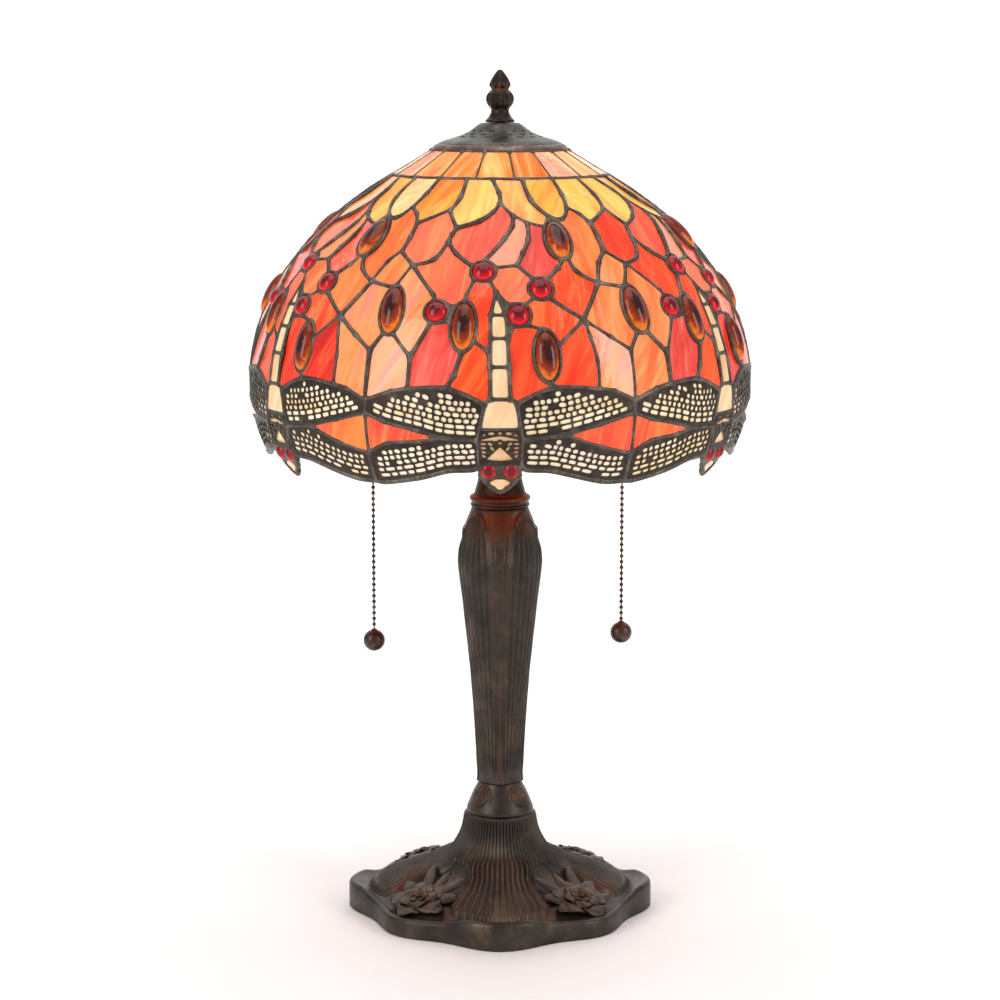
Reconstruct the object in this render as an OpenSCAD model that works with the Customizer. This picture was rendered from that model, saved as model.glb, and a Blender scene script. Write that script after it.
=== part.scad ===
// Stained glass table lamp: a bronze foot and column, a two-light cluster with pull chains,
// and a domed shade of flat glass pieces laid out in six equal dragonfly sectors.
// Millimetres. +Z up, origin at the centre of the foot's underside, -Y is the front.

/* [Shade] */
// Diameter of the shade at its widest
shade_d = 305; // [300:1:310]
// Thickness of the flat glass
glass_t = 2.6; // [2.2:0.1:3]
// Half width of the soldered seam between two pieces of glass
seam_half = 1.3; // [1.1:0.1:1.5]
// Thickness of the copper foil frames
foil_t = 3.0; // [2.6:0.1:3.4]
// Half width of a round glass jewel
round_jewel = 7; // [6.5:0.1:7.2]
// Half width of an oval glass jewel
oval_jewel = 7.5; // [7:0.1:7.6]
// Half length of an oval glass jewel
oval_jewel_long = 15; // [14:0.1:15.4]

/* [Foot and column] */
// Mean radius of the lobed foot
foot_r = 89.6; // [88:0.1:92]
// Height of the foot's side wall
foot_wall_h = 17; // [15:0.5:19]
// Thickness of the cast walls
cast_t = 4; // [3:0.5:4]
// Outer radius of the threaded tube that ties the foot to the lamp cluster
rod_r = 5; // [4.5:0.1:5]

/* [Lights] */
// Angle of the lampholders above the horizontal
holder_tilt = 55; // [52:1:58]
// Radius of a lampholder
holder_r = 16; // [15.5:0.1:17]
// Radius of a light bulb
bulb_r = 22; // [20:0.5:23]
// Distance of the left pull chain from the column's axis
left_chain_x = 78.5; // [76:0.5:80]
// Distance of the right pull chain from the column's axis
right_chain_x = 75.5; // [74:0.5:80]
// Height of the left chain's ball
left_ball_z = 171; // [168:1:185]
// Height of the right chain's ball
right_ball_z = 176; // [168:1:185]
// Distance from bead to bead on the chains
bead_pitch = 3.6; // [3.4:0.1:3.8]
// Radius of a chain bead
bead_r = 1.25; // [1.1:0.05:1.35]

/* [Hidden] */
$fn = 48;

bronze = [0.16, 0.13, 0.11];
dark_metal = [0.25, 0.23, 0.21];
brass_tone = [0.62, 0.48, 0.24];
sectors = 6;
sector_angle = 360 / sectors;

// ---------------------------------------------------------------- small helpers

function unit(v) = v / norm(v);
function mean(list) = [for (i = list) 1] * list / len(list);
function arc_points(c, r, from, to, n) = [
    for (i = [0:n]) let (a = from + (to - from) * i / n) c + r * [cos(a), sin(a)]
];
module ring_of(n) for (i = [0:n - 1]) rotate(i * 360 / n) children();

// ---------------------------------------------------------------- shade surface

// The shade's side is a straight cone at the top, one smooth curve down to the widest place,
// and a second curve that turns in to the rim. Heights and radii grow with shade_d.
shade_k = shade_d / 305;
widest_z = 338;
ring_r = 40.3;
ring_z = 474.5;
band_z = 459.5;
DOME = [[65, band_z], [149.6, 411.2], [152.5, 346.4], [152.5, widest_z]];
SKIRT = [[152.5, widest_z], [152, 304], [136, 284]];

function bezier(P, t) = len(P) == 1 ? P[0]
    : bezier([for (i = [0:len(P) - 2]) P[i] * (1 - t) + P[i + 1] * t], t);
function radius_on(P, z, lo = 0, hi = 1, steps = 14) =
    let (mid = (lo + hi) / 2, p = bezier(P, mid))
    steps == 0 ? p[0]
    : p[1] > z ? radius_on(P, z, mid, hi, steps - 1)
    : radius_on(P, z, lo, mid, steps - 1);
function dome_r(z) =
    z >= band_z ? ring_r + (65 - ring_r) * (ring_z - z) / (ring_z - band_z)
    : z >= widest_z ? radius_on(DOME, z)
    : radius_on(SKIRT, z);
function lean(z) = let (d = dome_r(z + 0.5) - dome_r(z - 0.5)) 1 / sqrt(1 + d * d);
// A place on the shade, from its angle round the axis (0 is the front) and its height
function on_shade(p) = let (r = dome_r(p[1]) * shade_k) [r * sin(p[0]), -r * cos(p[0]), p[1]];

// ---------------------------------------------------------------- the seams of one sector

// Each junction of seams: its name, its angle round the axis and its height.
// A name that starts with + is the same junction in the next sector.
JUNCTIONS = [
    // petal row
    ["p1", -32.5, 459.5], ["p2", -17, 459.5], ["p3", -4, 459.5], ["p4", 11.5, 459.5],
    ["q1", -33, 451], ["q2", -16.5, 450], ["q3", -0.5, 452.5], ["q4", 12.5, 448.5],
    ["n3", -34.5, 443.5], ["n3a", -31, 440.5], ["n4", -28.5, 435.5], ["n5", -18.5, 442.5],
    ["n6", -14, 433.5], ["n6a", -7, 437.5], ["n6b", -2.5, 442], ["n7", 0, 446.5],
    ["n8", 4.5, 440], ["n9", 9, 436], ["n11", 17, 439.5], ["n12", 21.5, 438],
    // field of reds
    ["a1", -29, 420], ["a1a", -28.5, 428], ["a2", -24, 413], ["a2a", -18.5, 416.5],
    ["a3", -15.5, 426], ["a3a", -15, 430], ["a4a", -12.5, 420], ["a5a", 1.5, 428.5],
    ["a5b", 4, 434.5], ["a7", 4.5, 413.5], ["a7a", 6.5, 420.5], ["a7b", 8.5, 427.5],
    ["a9a", 15.5, 412], ["a10a", 20.5, 410], ["a11", 25.5, 403.5], ["a11a", 28, 414.5],
    ["d1", -16.5, 397.5], ["d3", -8, 398], ["e1", -20, 364], ["e5", -2.5, 367.5],
    ["e6", -30, 366.5], ["f2", 1.8, 393], ["f4", 19.5, 384],
    ["g0", -30, 339], ["g1", 21.5, 346], ["g1a", 21.5, 362], ["g1b", 20.5, 374.5],
    ["g2", 12, 347.5], ["g3a", 25.5, 374], ["g4", 4, 340], ["g5", -3, 339],
    ["g6", -11.5, 347], ["g6a", -10, 354], ["g7", -20, 346],
    // tail and body
    ["tip", -1, 399.5], ["t1l", -2.2, 387], ["t1r", 1.4, 387], ["t2l", -2.1, 374.5],
    ["t2r", 1.7, 374.5], ["t3l", -2.1, 359], ["t3r", 1.9, 359], ["t4l", -2.2, 341],
    ["t4r", 2.6, 341], ["b1l", -4.2, 323.5], ["b1r", 4.2, 323.5], ["b2l", -4.6, 304.5],
    ["b2r", 4.6, 304.5], ["h1l", -4.2, 296], ["h1r", 4.2, 296], ["h2l", -2.2, 290],
    ["h2r", 2.2, 290], ["chin", 0, 287],
    // wings
    ["w1", -24, 344], ["w2", -30, 331.5], ["w3", -25.5, 327], ["w4", -17.5, 322.5],
    ["w5", -12, 319], ["w6", -4.8, 318], ["w7", -17.5, 316.5], ["w8", -25, 314.5],
    ["w9", -30, 308], ["w10", -30, 291.5], ["w11", -27.5, 291], ["w12", -18.5, 295],
    ["w13", -11.5, 300], ["w14", -5, 302], ["x1", 25, 344.5], ["x3", 22, 326],
    ["x5", 13, 320.5], ["x6", 4.8, 318], ["x8", 22, 313], ["x11", 24, 292],
    ["x13", 11.5, 300], ["x14", 5, 302]
];

// Each glass jewel: name, angle, height, tilt, and whether it is an oval
JEWELS = [
    ["C1", -4.3, 410.3, 0, false], ["C2", -15, 388.5, 0, false],
    ["C3", 10.1, 401, 0, false], ["C4", 4.3, 387, 0, false],
    ["O1", 17.6, 427, 0, true], ["O2", -8.3, 381, 0, true],
    ["O3", 10.3, 365, 3, true], ["O4", -26.2, 388.5, 4, true]
];

function rest_of(name, i = 1) = i >= len(name) ? "" : str(name[i], rest_of(name, i + 1));
function row_of(name, table) = table[search([name], table)[0]];
function place(name, turn = 0) = name[0] == "+" ? place(rest_of(name), turn + sector_angle)
    : let (j = row_of(name, JUNCTIONS)) [j[1] + turn, j[2]];
// A place on a jewel's edge at angle u round it, u = 0 on its right and 90 at its top
function on_jewel(name, u, turn = 0) = name[0] == "+"
    ? on_jewel(rest_of(name), u, turn + sector_angle)
    : let (
        j = row_of(name, JEWELS),
        x = (j[4] ? oval_jewel : round_jewel) * cos(u),
        y = (j[4] ? oval_jewel_long : round_jewel) * sin(u),
        across = x * cos(j[3]) - y * sin(j[3]),
        up = x * sin(j[3]) + y * cos(j[3])
    ) [j[1] + turn + across / dome_r(j[2]) * 180 / PI, j[2] + up * lean(j[2])];
// A piece of glass is a list of junction names, with [jewel, from, to, steps] for an arc
function outline(piece) = [
    for (item = piece) for (p = is_string(item) ? [place(item)]
        : [for (i = [0:item[3]]) on_jewel(item[0], item[1] + (item[2] - item[1]) * i / item[3])])
        on_shade(p)
];

PETALS = [
    ["p1", "p2", "q2", "n5", "n4", "n3a", "n3", "q1"],
    ["p2", "p3", "q3", "n7", "n6b", "n6a", "n6", "n5", "q2"],
    ["p3", "p4", "q4", "n11", ["O1", 110, 140, 1], "n9", "n8", "n7", "q3"],
    ["p4", "+p1", "+q1", "+n3", "n12", "n11", "q4"]
];
SCARLET = [
    ["n4", "n5", "n6", "a3a", "a3", "a2a", "a2", "a1", "a1a"],
    ["a2", "a2a", "a3", "a4a", ["C1", 150, 230, 2], "d3", ["O2", 90, 130, 2], ["C2", 35, 110, 2],
        "d1"],
    ["n6", "n6a", "n6b", "n7", "n8", "a5b", "a5a", ["C1", 90, 150, 2], "a4a", "a3", "a3a"],
    [["C1", 230, 300, 2], "tip", "t1l", "t2l", "e5", ["O2", -35, 90, 5], "d3"],
    [["O2", -90, -35, 2], "e5", "t3l", "t4l", "g5", "g6", "g6a"]
];
RUBY = [
    ["n9", ["O1", 140, 270, 4], "a9a", ["C3", 55, 120, 2], "a7", "a7a", "a7b"],
    [["C4", 245, 300, 2], ["O3", 95, 270, 6], "g2", "g4", "t4r", "t3r", "t2r"],
    ["f4", "g1b", "g1a", "g1", "g2", ["O3", -90, 20, 4]]
];
TANGERINE = [
    [["O1", -70, 80, 5], "n11", "n12", "+n3", "+n3a", "+n4", "+a1a", "+a1", "a11a", "a11", "a10a"],
    [["O1", -90, -70, 1], "a10a", "a11", "f4", ["C3", -55, 55, 4], "a9a"],
    [["C1", 0, 20, 1], "a7", ["C3", 120, 235, 3], ["C4", 60, 115, 2], "f2", "tip",
        ["C1", -60, -30, 1]],
    [["C3", 235, 305, 2], "f4", ["O3", 20, 95, 3], ["C4", -60, 60, 4]]
];
SALMON = [
    ["+a1", "+a2", ["+O4", 95, 110, 1], "a11", "a11a"],
    ["a2", "d1", ["C2", 110, 250, 4], "e1", ["O4", -70, 95, 5]],
    ["n8", "n9", "a7b", "a7a", "a7", ["C1", 20, 90, 2], "a5a", "a5b"],
    ["f4", "g3a", "+e6", "+g0", "x1", "g1", "g1a", "g1b"],
    ["e6", ["O4", -115, -70, 2], "e1", "g7", "w1", "g0"],
    ["a11", ["+O4", 110, 245, 5], "+e6", "g3a", "f4"]
];
ROSE = [
    ["e1", ["C2", -110, -60, 2], ["O2", 172, 270, 4], "g6a", "g6", "g7"]
];
BORDER = [
    ["w2", "w3", "w4", "w5", "w7", "w8", "w9"],
    ["+w2", "+w9", "x8", "x5", "x3"]
];
TAIL = [
    ["tip", "t1r", "t1l"],
    ["t1l", "t1r", "t2r", "t2l"],
    ["t2l", "t2r", "t3r", "t3l"],
    ["t3l", "t3r", "t4r", "t4l"],
    ["t4l", "t4r", "g4", "b1r", "b1l", "g5"]
];
BODY = [["b1l", "b1r", "x6", "b2r", "b2l", "w6"]];
HEAD = [["b2l", "b2r", "h1r", "h2r", "chin", "h2l", "h1l"]];
WINGS = [
    ["g0", "w1", "g7", "g6", "g5", "w6", "w5", "w4", "w3", "w2"],
    ["g4", "g2", "g1", "x1", "+g0", "+w2", "x3", "x5", "x6"],
    ["w6", "w14", "w13", "w12", "w11", "w10", "w9", "w8", "w7", "w5"],
    ["x6", "x5", "x8", "+w9", "+w10", "x11", "x13", "x14"]
];

// ---------------------------------------------------------------- flat pieces of glass

// The plane that fits a ring of points best: its centre and its outward normal
function newell(P) = let (n = len(P)) unit([for (i = [0:n - 1]) 1] *
    [for (i = [0:n - 1]) cross(P[i], P[(i + 1) % n])]);
function outward(P) = let (n = newell(P), c = mean(P)) n * (n * [c[0], c[1], 0] < 0 ? -1 : 1);
function plane_x(n) = unit(cross([0, 0, 1], n));
// The points of a ring in its plane's own x and y, anticlockwise
function flat(P) = let (
    c = mean(P), n = outward(P), x = plane_x(n), y = cross(n, x),
    Q = [for (p = P) [(p - c) * x, (p - c) * y]]
) signed_area(Q) > 0 ? Q : [for (i = [len(Q) - 1:-1:0]) Q[i]];
function signed_area(Q) = let (n = len(Q))
    [for (i = [0:n - 1]) 1] * [for (i = [0:n - 1]) let (a = Q[i], b = Q[(i + 1) % n])
        (a[0] * b[1] - a[1] * b[0]) / 2];
// An outline drawn in by d all round
function inset(Q, d) = let (n = len(Q)) [
    for (i = [0:n - 1]) let (
        a = unit(Q[i] - Q[(i + n - 1) % n]),
        b = unit(Q[(i + 1) % n] - Q[i]),
        na = [-a[1], a[0]],
        nb = [-b[1], b[0]]
    ) Q[i] + (na + nb) * d / max(0.15, 1 + na * nb)
];
module on_plane_of(P) {
    c = mean(P);
    n = outward(P);
    x = plane_x(n);
    y = cross(n, x);
    multmatrix([[x[0], y[0], n[0], c[0]], [x[1], y[1], n[1], c[1]], [x[2], y[2], n[2], c[2]]])
        children();
}
module pane(piece, t = glass_t) {
    P = outline(piece);
    on_plane_of(P)
        translate([0, 0, -t / 2]) linear_extrude(t) polygon(inset(flat(P), seam_half));
}
module panes(pieces, t = glass_t) ring_of(sectors) for (piece = pieces) pane(piece, t);
module foil_frame(piece) {
    P = outline(piece);
    Q = flat(P);
    n = len(Q);
    on_plane_of(P) translate([0, 0, -foil_t / 2]) linear_extrude(foil_t)
        polygon(concat(inset(Q, 0.45), inset(Q, seam_half - 0.05)),
            [[for (i = [0:n - 1]) i], [for (i = [0:n - 1]) n + i]]);
}
band_panes = 18;
band_phase = 7.5;
function band_piece() = let (w = 180 / band_panes) [
    on_shade([band_phase - w, band_z]), on_shade([band_phase + w, band_z]),
    on_shade([band_phase + w, ring_z]), on_shade([band_phase - w, ring_z])
];

module band_glass() color([0.98, 0.62, 0.25]) ring_of(band_panes) {
    P = band_piece();
    on_plane_of(P)
        translate([0, 0, -glass_t / 2]) linear_extrude(glass_t) polygon(inset(flat(P), seam_half));
}
module petal_glass() color([0.98, 0.68, 0.2]) panes(PETALS);
module scarlet_glass() color([0.93, 0.3, 0.12]) panes(SCARLET);
module ruby_glass() color([0.82, 0.16, 0.12]) panes(RUBY);
module tangerine_glass() color([0.95, 0.42, 0.18]) panes(TANGERINE);
module salmon_glass() color([0.95, 0.6, 0.45]) panes(SALMON);
module rose_glass() color([0.9, 0.36, 0.36]) panes(ROSE);
module border_glass() color([0.9, 0.25, 0.12]) panes(BORDER);
module tail_glass() color([0.98, 0.86, 0.68]) panes(concat(TAIL, BODY));
module head_glass() color([0.97, 0.8, 0.62]) ring_of(sectors) {
    difference() {
        pane(HEAD[0]);
        for (side = [-1, 1])
            eye_place(side * eye_angle, eye_z) cylinder(r = eye_hole_r, h = 20, center = true);
    }
}

// ---------------------------------------------------------------- wings and their filigree

// The skirt's wall between two depths, measured in from its middle surface
SKIRT_HEIGHTS = [350, 338, 326, 316, 307, 299, 292, 286];
module skirt_wall(from, to) rotate_extrude() polygon(concat(
    [for (z = SKIRT_HEIGHTS) [dome_r(z) * shade_k - from, z]],
    [for (i = [len(SKIRT_HEIGHTS) - 1:-1:0]) let (z = SKIRT_HEIGHTS[i])
        [dome_r(z) * shade_k - to, z]]
));
function mean_angle(piece) = mean([for (name = piece) place(name)])[0];
// A wing's outline as seen from straight outside it
function seen(piece) = let (
    a = mean_angle(piece),
    Q = [for (name = piece) let (p = place(name), r = dome_r(p[1]) * shade_k)
        [r * sin(p[0] - a), p[1]]]
) signed_area(Q) > 0 ? Q : [for (i = [len(Q) - 1:-1:0]) Q[i]];
module wing_place(piece) rotate(mean_angle(piece))
    translate([0, -60, 0]) rotate([90, 0, 0]) linear_extrude(110) children();
module wing_glass() color([0.98, 0.92, 0.76]) ring_of(sectors) for (piece = WINGS)
    intersection() {
        skirt_wall(-0.6, 1.6);
        wing_place(piece) polygon(inset(seen(piece), seam_half));
    }

// One row of openings in a wing: quads between two lines that run from its root to its tip
wing_rows = 3;
wing_cells = 5;
function between(a, b, t) = a * (1 - t) + b * t;
function run_z(Q, x, upper) = let (
    n = len(Q),
    zs = [for (i = [0:n - 1]) let (a = Q[i], b = Q[(i + 1) % n])
        if ((a[0] - x) * (b[0] - x) <= 0 && abs(a[0] - b[0]) > 0.01)
            a[1] + (b[1] - a[1]) * (x - a[0]) / (b[0] - a[0])]
) upper ? max(zs) : min(zs);
module filigree_cells(Q) {
    rib = 1.1;
    xs = [for (q = Q) q[0]];
    x0 = min(xs) + 4;
    x1 = max(xs) - 4;
    for (i = [0:wing_cells - 1]) for (j = [0:wing_rows - 1]) {
        xa = between(x0, x1, i / wing_cells) + rib;
        xb = between(x0, x1, (i + 1) / wing_cells) - rib;
        za = [run_z(Q, xa, false) + 2.4, run_z(Q, xa, true) - 2.4];
        zb = [run_z(Q, xb, false) + 2.4, run_z(Q, xb, true) - 2.4];
        step_a = (za[1] - za[0]) / wing_rows;
        step_b = (zb[1] - zb[0]) / wing_rows;
        if (min(step_a, step_b) > 2 * rib) polygon([
            [xa, za[0] + j * step_a + rib / 2],
            [xb, zb[0] + j * step_b + rib / 2],
            [xb, zb[0] + (j + 1) * step_b - rib / 2],
            [xa, za[0] + (j + 1) * step_a - rib / 2]
        ]);
    }
}
module wing_filigree() color(dark_metal) ring_of(sectors) for (piece = WINGS)
    intersection() {
        skirt_wall(-1.5, -0.7);
        wing_place(piece) difference() {
            polygon(inset(seen(piece), 0.4));
            filigree_cells(inset(seen(piece), 0.4));
        }
    }

// The body between the wing roots: one flat glass plate under a flat pierced plate
module body_filigree() color(dark_metal) ring_of(sectors) {
    P = outline(BODY[0]);
    Q = inset(flat(P), 0.45);
    hole_r = 1.7;
    on_plane_of(P) translate([0, 0, foil_t / 2 + 0.05]) linear_extrude(0.8) difference() {
        polygon(Q);
        for (x = [-7:3.5:7]) for (y = [-6:4:6]) translate([x, y]) circle(r = hole_r, $fn = 6);
    }
}

// ---------------------------------------------------------------- jewels

eye_angle = 2.6;
eye_z = 299.5;
eye_r = 4.9;
eye_hole_r = 5.8;
jewel_gap = 1.2;
module eye_place(a, z) {
    r = dome_r(z) * shade_k;
    slope = atan2(dome_r(z + 1) - dome_r(z - 1), 2);
    rotate(a) translate([0, -r, z]) rotate([90 + slope, 0, 0]) children();
}
// A round jewel is the cap of a ball over a short straight edge
module round_jewel_body(r) {
    edge_h = 1.2;
    crown = 3.6;
    ball_r = (r * r + crown * crown) / (2 * crown);
    rotate_extrude() polygon(concat(
        [[0, -edge_h], [r, -edge_h]],
        arc_points([0, crown - ball_r], ball_r, acos(r / ball_r), 90, 6)
    ));
}
// An oval jewel is half a spindle with its flat side at the back
module oval_jewel_body(w, h) {
    spindle_r = (h * h + w * w) / (2 * w);
    half = asin(h / spindle_r);
    translate([0, 0, -1.2]) rotate([-90, 0, 0]) rotate([0, 0, 180]) rotate_extrude(angle = 180)
        polygon(concat(
            [[0, h]], arc_points([w - spindle_r, 0], spindle_r, half - 0.5, 0.5 - half, 11), [[0, -h]]
        ));
}
module at_jewel(j) {
    r = dome_r(j[2]) * shade_k;
    slope = atan2(dome_r(j[2] + 1) - dome_r(j[2] - 1), 2);
    rotate(j[1]) translate([0, -r, j[2]]) rotate([90 + slope, 0, 0]) rotate(j[3]) children();
}
module round_jewels() color([0.6, 0.03, 0.06]) ring_of(sectors)
    for (j = JEWELS) if (!j[4]) at_jewel(j) round_jewel_body(round_jewel - jewel_gap);
module oval_jewels() color([0.62, 0.2, 0.04]) ring_of(sectors)
    for (j = JEWELS) if (j[4]) at_jewel(j)
        oval_jewel_body(oval_jewel - jewel_gap, oval_jewel_long - jewel_gap - 1);
module eye_jewels() color([0.6, 0.03, 0.06]) ring_of(sectors)
    for (side = [-1, 1]) eye_place(side * eye_angle, eye_z) round_jewel_body(eye_r);

// ---------------------------------------------------------------- metal of the shade

module foil_frames() color(dark_metal) {
    ring_of(sectors) for (piece = concat(PETALS, SCARLET, RUBY, TANGERINE, SALMON, ROSE, BORDER, TAIL,
        BODY)) foil_frame(piece);
    ring_of(band_panes) {
        P = band_piece();
        Q = flat(P);
        on_plane_of(P) translate([0, 0, -foil_t / 2]) linear_extrude(foil_t)
            polygon(concat(inset(Q, 0.45), inset(Q, seam_half - 0.05)),
                [[0, 1, 2, 3], [4, 5, 6, 7]]);
    }
}
module shade_ring() color(dark_metal) rotate_extrude()
    polygon([[36.4, 475.7], [41, 475.7], [41, 476.2], [38, 476.2], [37.2, 477], [36.4, 477]]);

// The wire follows the scalloped lower edge, a little below the wings and heads
RIM_ROUTE = ["w10", "w11", "w12", "w13", "w14", "h1l", "h2l", "chin", "h2r", "h1r", "x14", "x13",
    "x11"];
wire_r = 1.1;
wire_drop = 1.9;
wire_sides = 6;
function wire_centres() = [for (s = [0:sectors - 1]) for (name = RIM_ROUTE)
    let (p = place(name), q = on_shade([p[0] + s * sector_angle, p[1]]))
    q - [0, 0, wire_drop] - 0.8 * unit([q[0], q[1], 0])];
module rim_wire() color(dark_metal) {
    C = wire_centres();
    n = len(C);
    rings = [for (i = [0:n - 1]) let (
        along = unit(C[(i + 1) % n] - C[(i + n - 1) % n]),
        out = unit([C[i][0], C[i][1], 0]),
        side = unit(cross(along, out)),
        up = cross(side, along)
    ) for (k = [0:wire_sides - 1]) let (a = k * 360 / wire_sides)
        C[i] + wire_r * (cos(a) * side + sin(a) * up)];
    faces = [for (i = [0:n - 1]) for (k = [0:wire_sides - 1]) let (
        i2 = (i + 1) % n,
        k2 = (k + 1) % wire_sides
    ) each [
        [i * wire_sides + k, i2 * wire_sides + k, i2 * wire_sides + k2],
        [i * wire_sides + k, i2 * wire_sides + k2, i * wire_sides + k2]
    ]];
    polyhedron(rings, faces);
}

// A vented cap: a thin spun cover with three rows of diamond openings
cap_t = 1.2;
CAP_PROFILE = [[10.5, 491], [14.5, 489], [21.8, 485.4], [30.9, 481.8], [37.3, 478.6], [38.8, 477.9]];
tip_r = 3;
running_gap = 0.05;
module vented_cap() color(bronze) difference() {
    rotate_extrude() polygon(concat(
        [[tip_r + running_gap, 491]], CAP_PROFILE,
        [for (i = [len(CAP_PROFILE) - 1:-1:0]) CAP_PROFILE[i] - [0.5, cap_t]],
        [[tip_r + running_gap, 491 - cap_t]]
    ));
    for (row = [0:2]) let (count = 16)
        for (i = [0:count - 1]) rotate((i + row / 2) * 360 / count) translate([15.5 + 4.5 * row, 0, 470])
            cylinder(r = 1.2 + 0.25 * row, h = 25, $fn = 4);
}
module finial() color(bronze) rotate_extrude() polygon([
    [tip_r + running_gap, 491.3], [8.8, 491.3], [8.8, 492.6], [7, 494.4], [6.1, 496], [5.4, 498],
    [7.3, 501.6], [8.5, 505], [8.2, 507], [7, 509], [5.4, 511], [6, 514], [5.4, 516],
    [3.6, 519.5], [1.2, 523], [0, 523], [0, 503], [tip_r + running_gap, 503]
]);
module shade_rest_washer() color(dark_metal) rotate_extrude()
    polygon([[4.85, 485], [9, 485], [9, 487.6], [4.85, 487.6]]);

// ---------------------------------------------------------------- cluster, rods and neck

neck_z = 256;
cluster_z = 288;
cluster_top = 330;
rod_gap = 0.1;
module upper_rod() color(brass_tone) rotate_extrude() polygon([
    [0, cluster_top - 8], [4.8, cluster_top - 8], [4.8, 489.4], [tip_r, 489.4], [tip_r, 501],
    [0, 501]
]);
module centre_rod() color(brass_tone) rotate_extrude() polygon([
    [rod_r - 1.5, 6], [rod_r, 6], [rod_r, cluster_z + 8], [rod_r - 1.5, cluster_z + 8]
]);
module neck_cup() color(bronze) rotate_extrude() polygon([
    [rod_r + rod_gap, neck_z], [17.6, neck_z], [18.2, 259], [18.6, 261], [18.6, 262.5],
    [16.4, 264.3], [15.8, 265], [14.5, 269.6], [13.2, 278], [14, cluster_z - 0.2],
    [rod_r + rod_gap, cluster_z - 0.2]
]);
module holder_frame(side) translate([side * 32, 0, 313]) rotate([0, side * (90 - holder_tilt), 0])
    children();
module cluster_body() color(bronze) difference() {
    union() {
        rotate_extrude() polygon([
            [rod_r + rod_gap, cluster_z], [14, cluster_z], [19, cluster_z + 6],
            [19, cluster_top - 10], [11, cluster_top], [4.9, cluster_top],
            [4.9, cluster_top - 4], [9, cluster_top - 6], [15, cluster_top - 13],
            [15, cluster_z + 8], [10, cluster_z + 4], [rod_r + rod_gap, cluster_z + 4]
        ]);
        for (side = [-1, 1]) difference() {
            holder_frame(side) translate([0, 0, -26]) cylinder(r = 6, h = 25.8);
            translate([0, 0, 280]) cylinder(r = 17, h = 60);
        }
    }
    for (side = [-1, 1]) holder_frame(side) translate([0, 0, -30]) cylinder(r = 4, h = 31);
}

// ---------------------------------------------------------------- lampholders and bulbs

holder_len = 50;
cap_r = 13;
module socket_shell(side) color(dark_metal) holder_frame(side) rotate_extrude() polygon([
    [4, 0], [holder_r - 4, 0], [holder_r, 5], [holder_r, holder_len - 3],
    [holder_r + 0.8, holder_len - 2], [holder_r, holder_len], [holder_r - 1, holder_len],
    [holder_r - 1, 5.4], [holder_r - 4.5, 1], [4, 1]
]);
module socket_core(side) color([0.85, 0.83, 0.78]) holder_frame(side) rotate_extrude() polygon([
    [4.2, 1.2], [holder_r - 4.8, 1.2], [holder_r - 1.4, 6], [holder_r - 1.4, holder_len - 4],
    [cap_r + 0.4, holder_len - 4], [cap_r + 0.4, 18], [4.2, 18]
]);
module contact(side) color(brass_tone) holder_frame(side) rotate_extrude()
    polygon([[0, 16], [3.9, 16], [3.9, 19.5], [3, 20.2], [0, 20.2]]);
module bulb_cap(side) color([0.75, 0.72, 0.62]) holder_frame(side) rotate_extrude() polygon([
    [0, 20.6], [4.6, 20.6], [9, 24], [cap_r - 0.5, 26], [cap_r, 28], [cap_r - 0.5, 30], [cap_r, 32],
    [cap_r - 0.5, 34], [cap_r, 36], [cap_r - 0.5, 38], [cap_r, 40], [cap_r - 0.5, 42],
    [cap_r, 44], [cap_r, 48], [0, 48]
]);
bulb_len = 72;
module bulb_glass(side) color([1, 0.98, 0.92]) holder_frame(side) rotate_extrude() polygon(concat(
    [[0, 48], [cap_r - 0.4, 48], [cap_r, 56], [cap_r + 2, 66]],
    arc_points([0, 48 + bulb_len - bulb_r], bulb_r, -42, 90, 10)
));

// ---------------------------------------------------------------- pull chains

function chain_x(side) = side < 0 ? left_chain_x : right_chain_x;
function ball_z(side) = side < 0 ? left_ball_z : right_ball_z;
bell_z = 318;
elbow_z = 327;
pull_travel = 8;
link_r = 1.2;
pivot_z = bell_z - 9.6;
lower_pivot_z = pivot_z - 4.5;
side_arm_at = 30;
// The bell carries the chain out from the switch in the lampholder and turns it down
module chain_bell(side) color(brass_tone) {
    from = [side * (32 + side_arm_at * cos(holder_tilt)), 0, 313 + side_arm_at * sin(holder_tilt)];
    to = [side * chain_x(side), 0, elbow_z];
    run = to - from;
    lean_y = side * acos(run[2] / norm(run));
    difference() {
        union() {
            difference() {
                translate(from) rotate([0, lean_y, 0]) cylinder(r = 3, h = norm(run));
                holder_frame(side) translate([0, 0, -5]) cylinder(r = holder_r + 0.1, h = 80);
            }
            translate(to) sphere(r = 3.6);
            translate([to[0], 0, bell_z]) rotate_extrude() polygon([
                [0, 9], [3, 9], [2.8, 5], [3.6, 2], [5, 0], [4.2, 0], [2.4, 2.4], [2, 3], [0, 3]
            ]);
        }
        translate([to[0], 0, bell_z - 1]) cylinder(r = link_r + 0.4, h = 11.6);
    }
}
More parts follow.
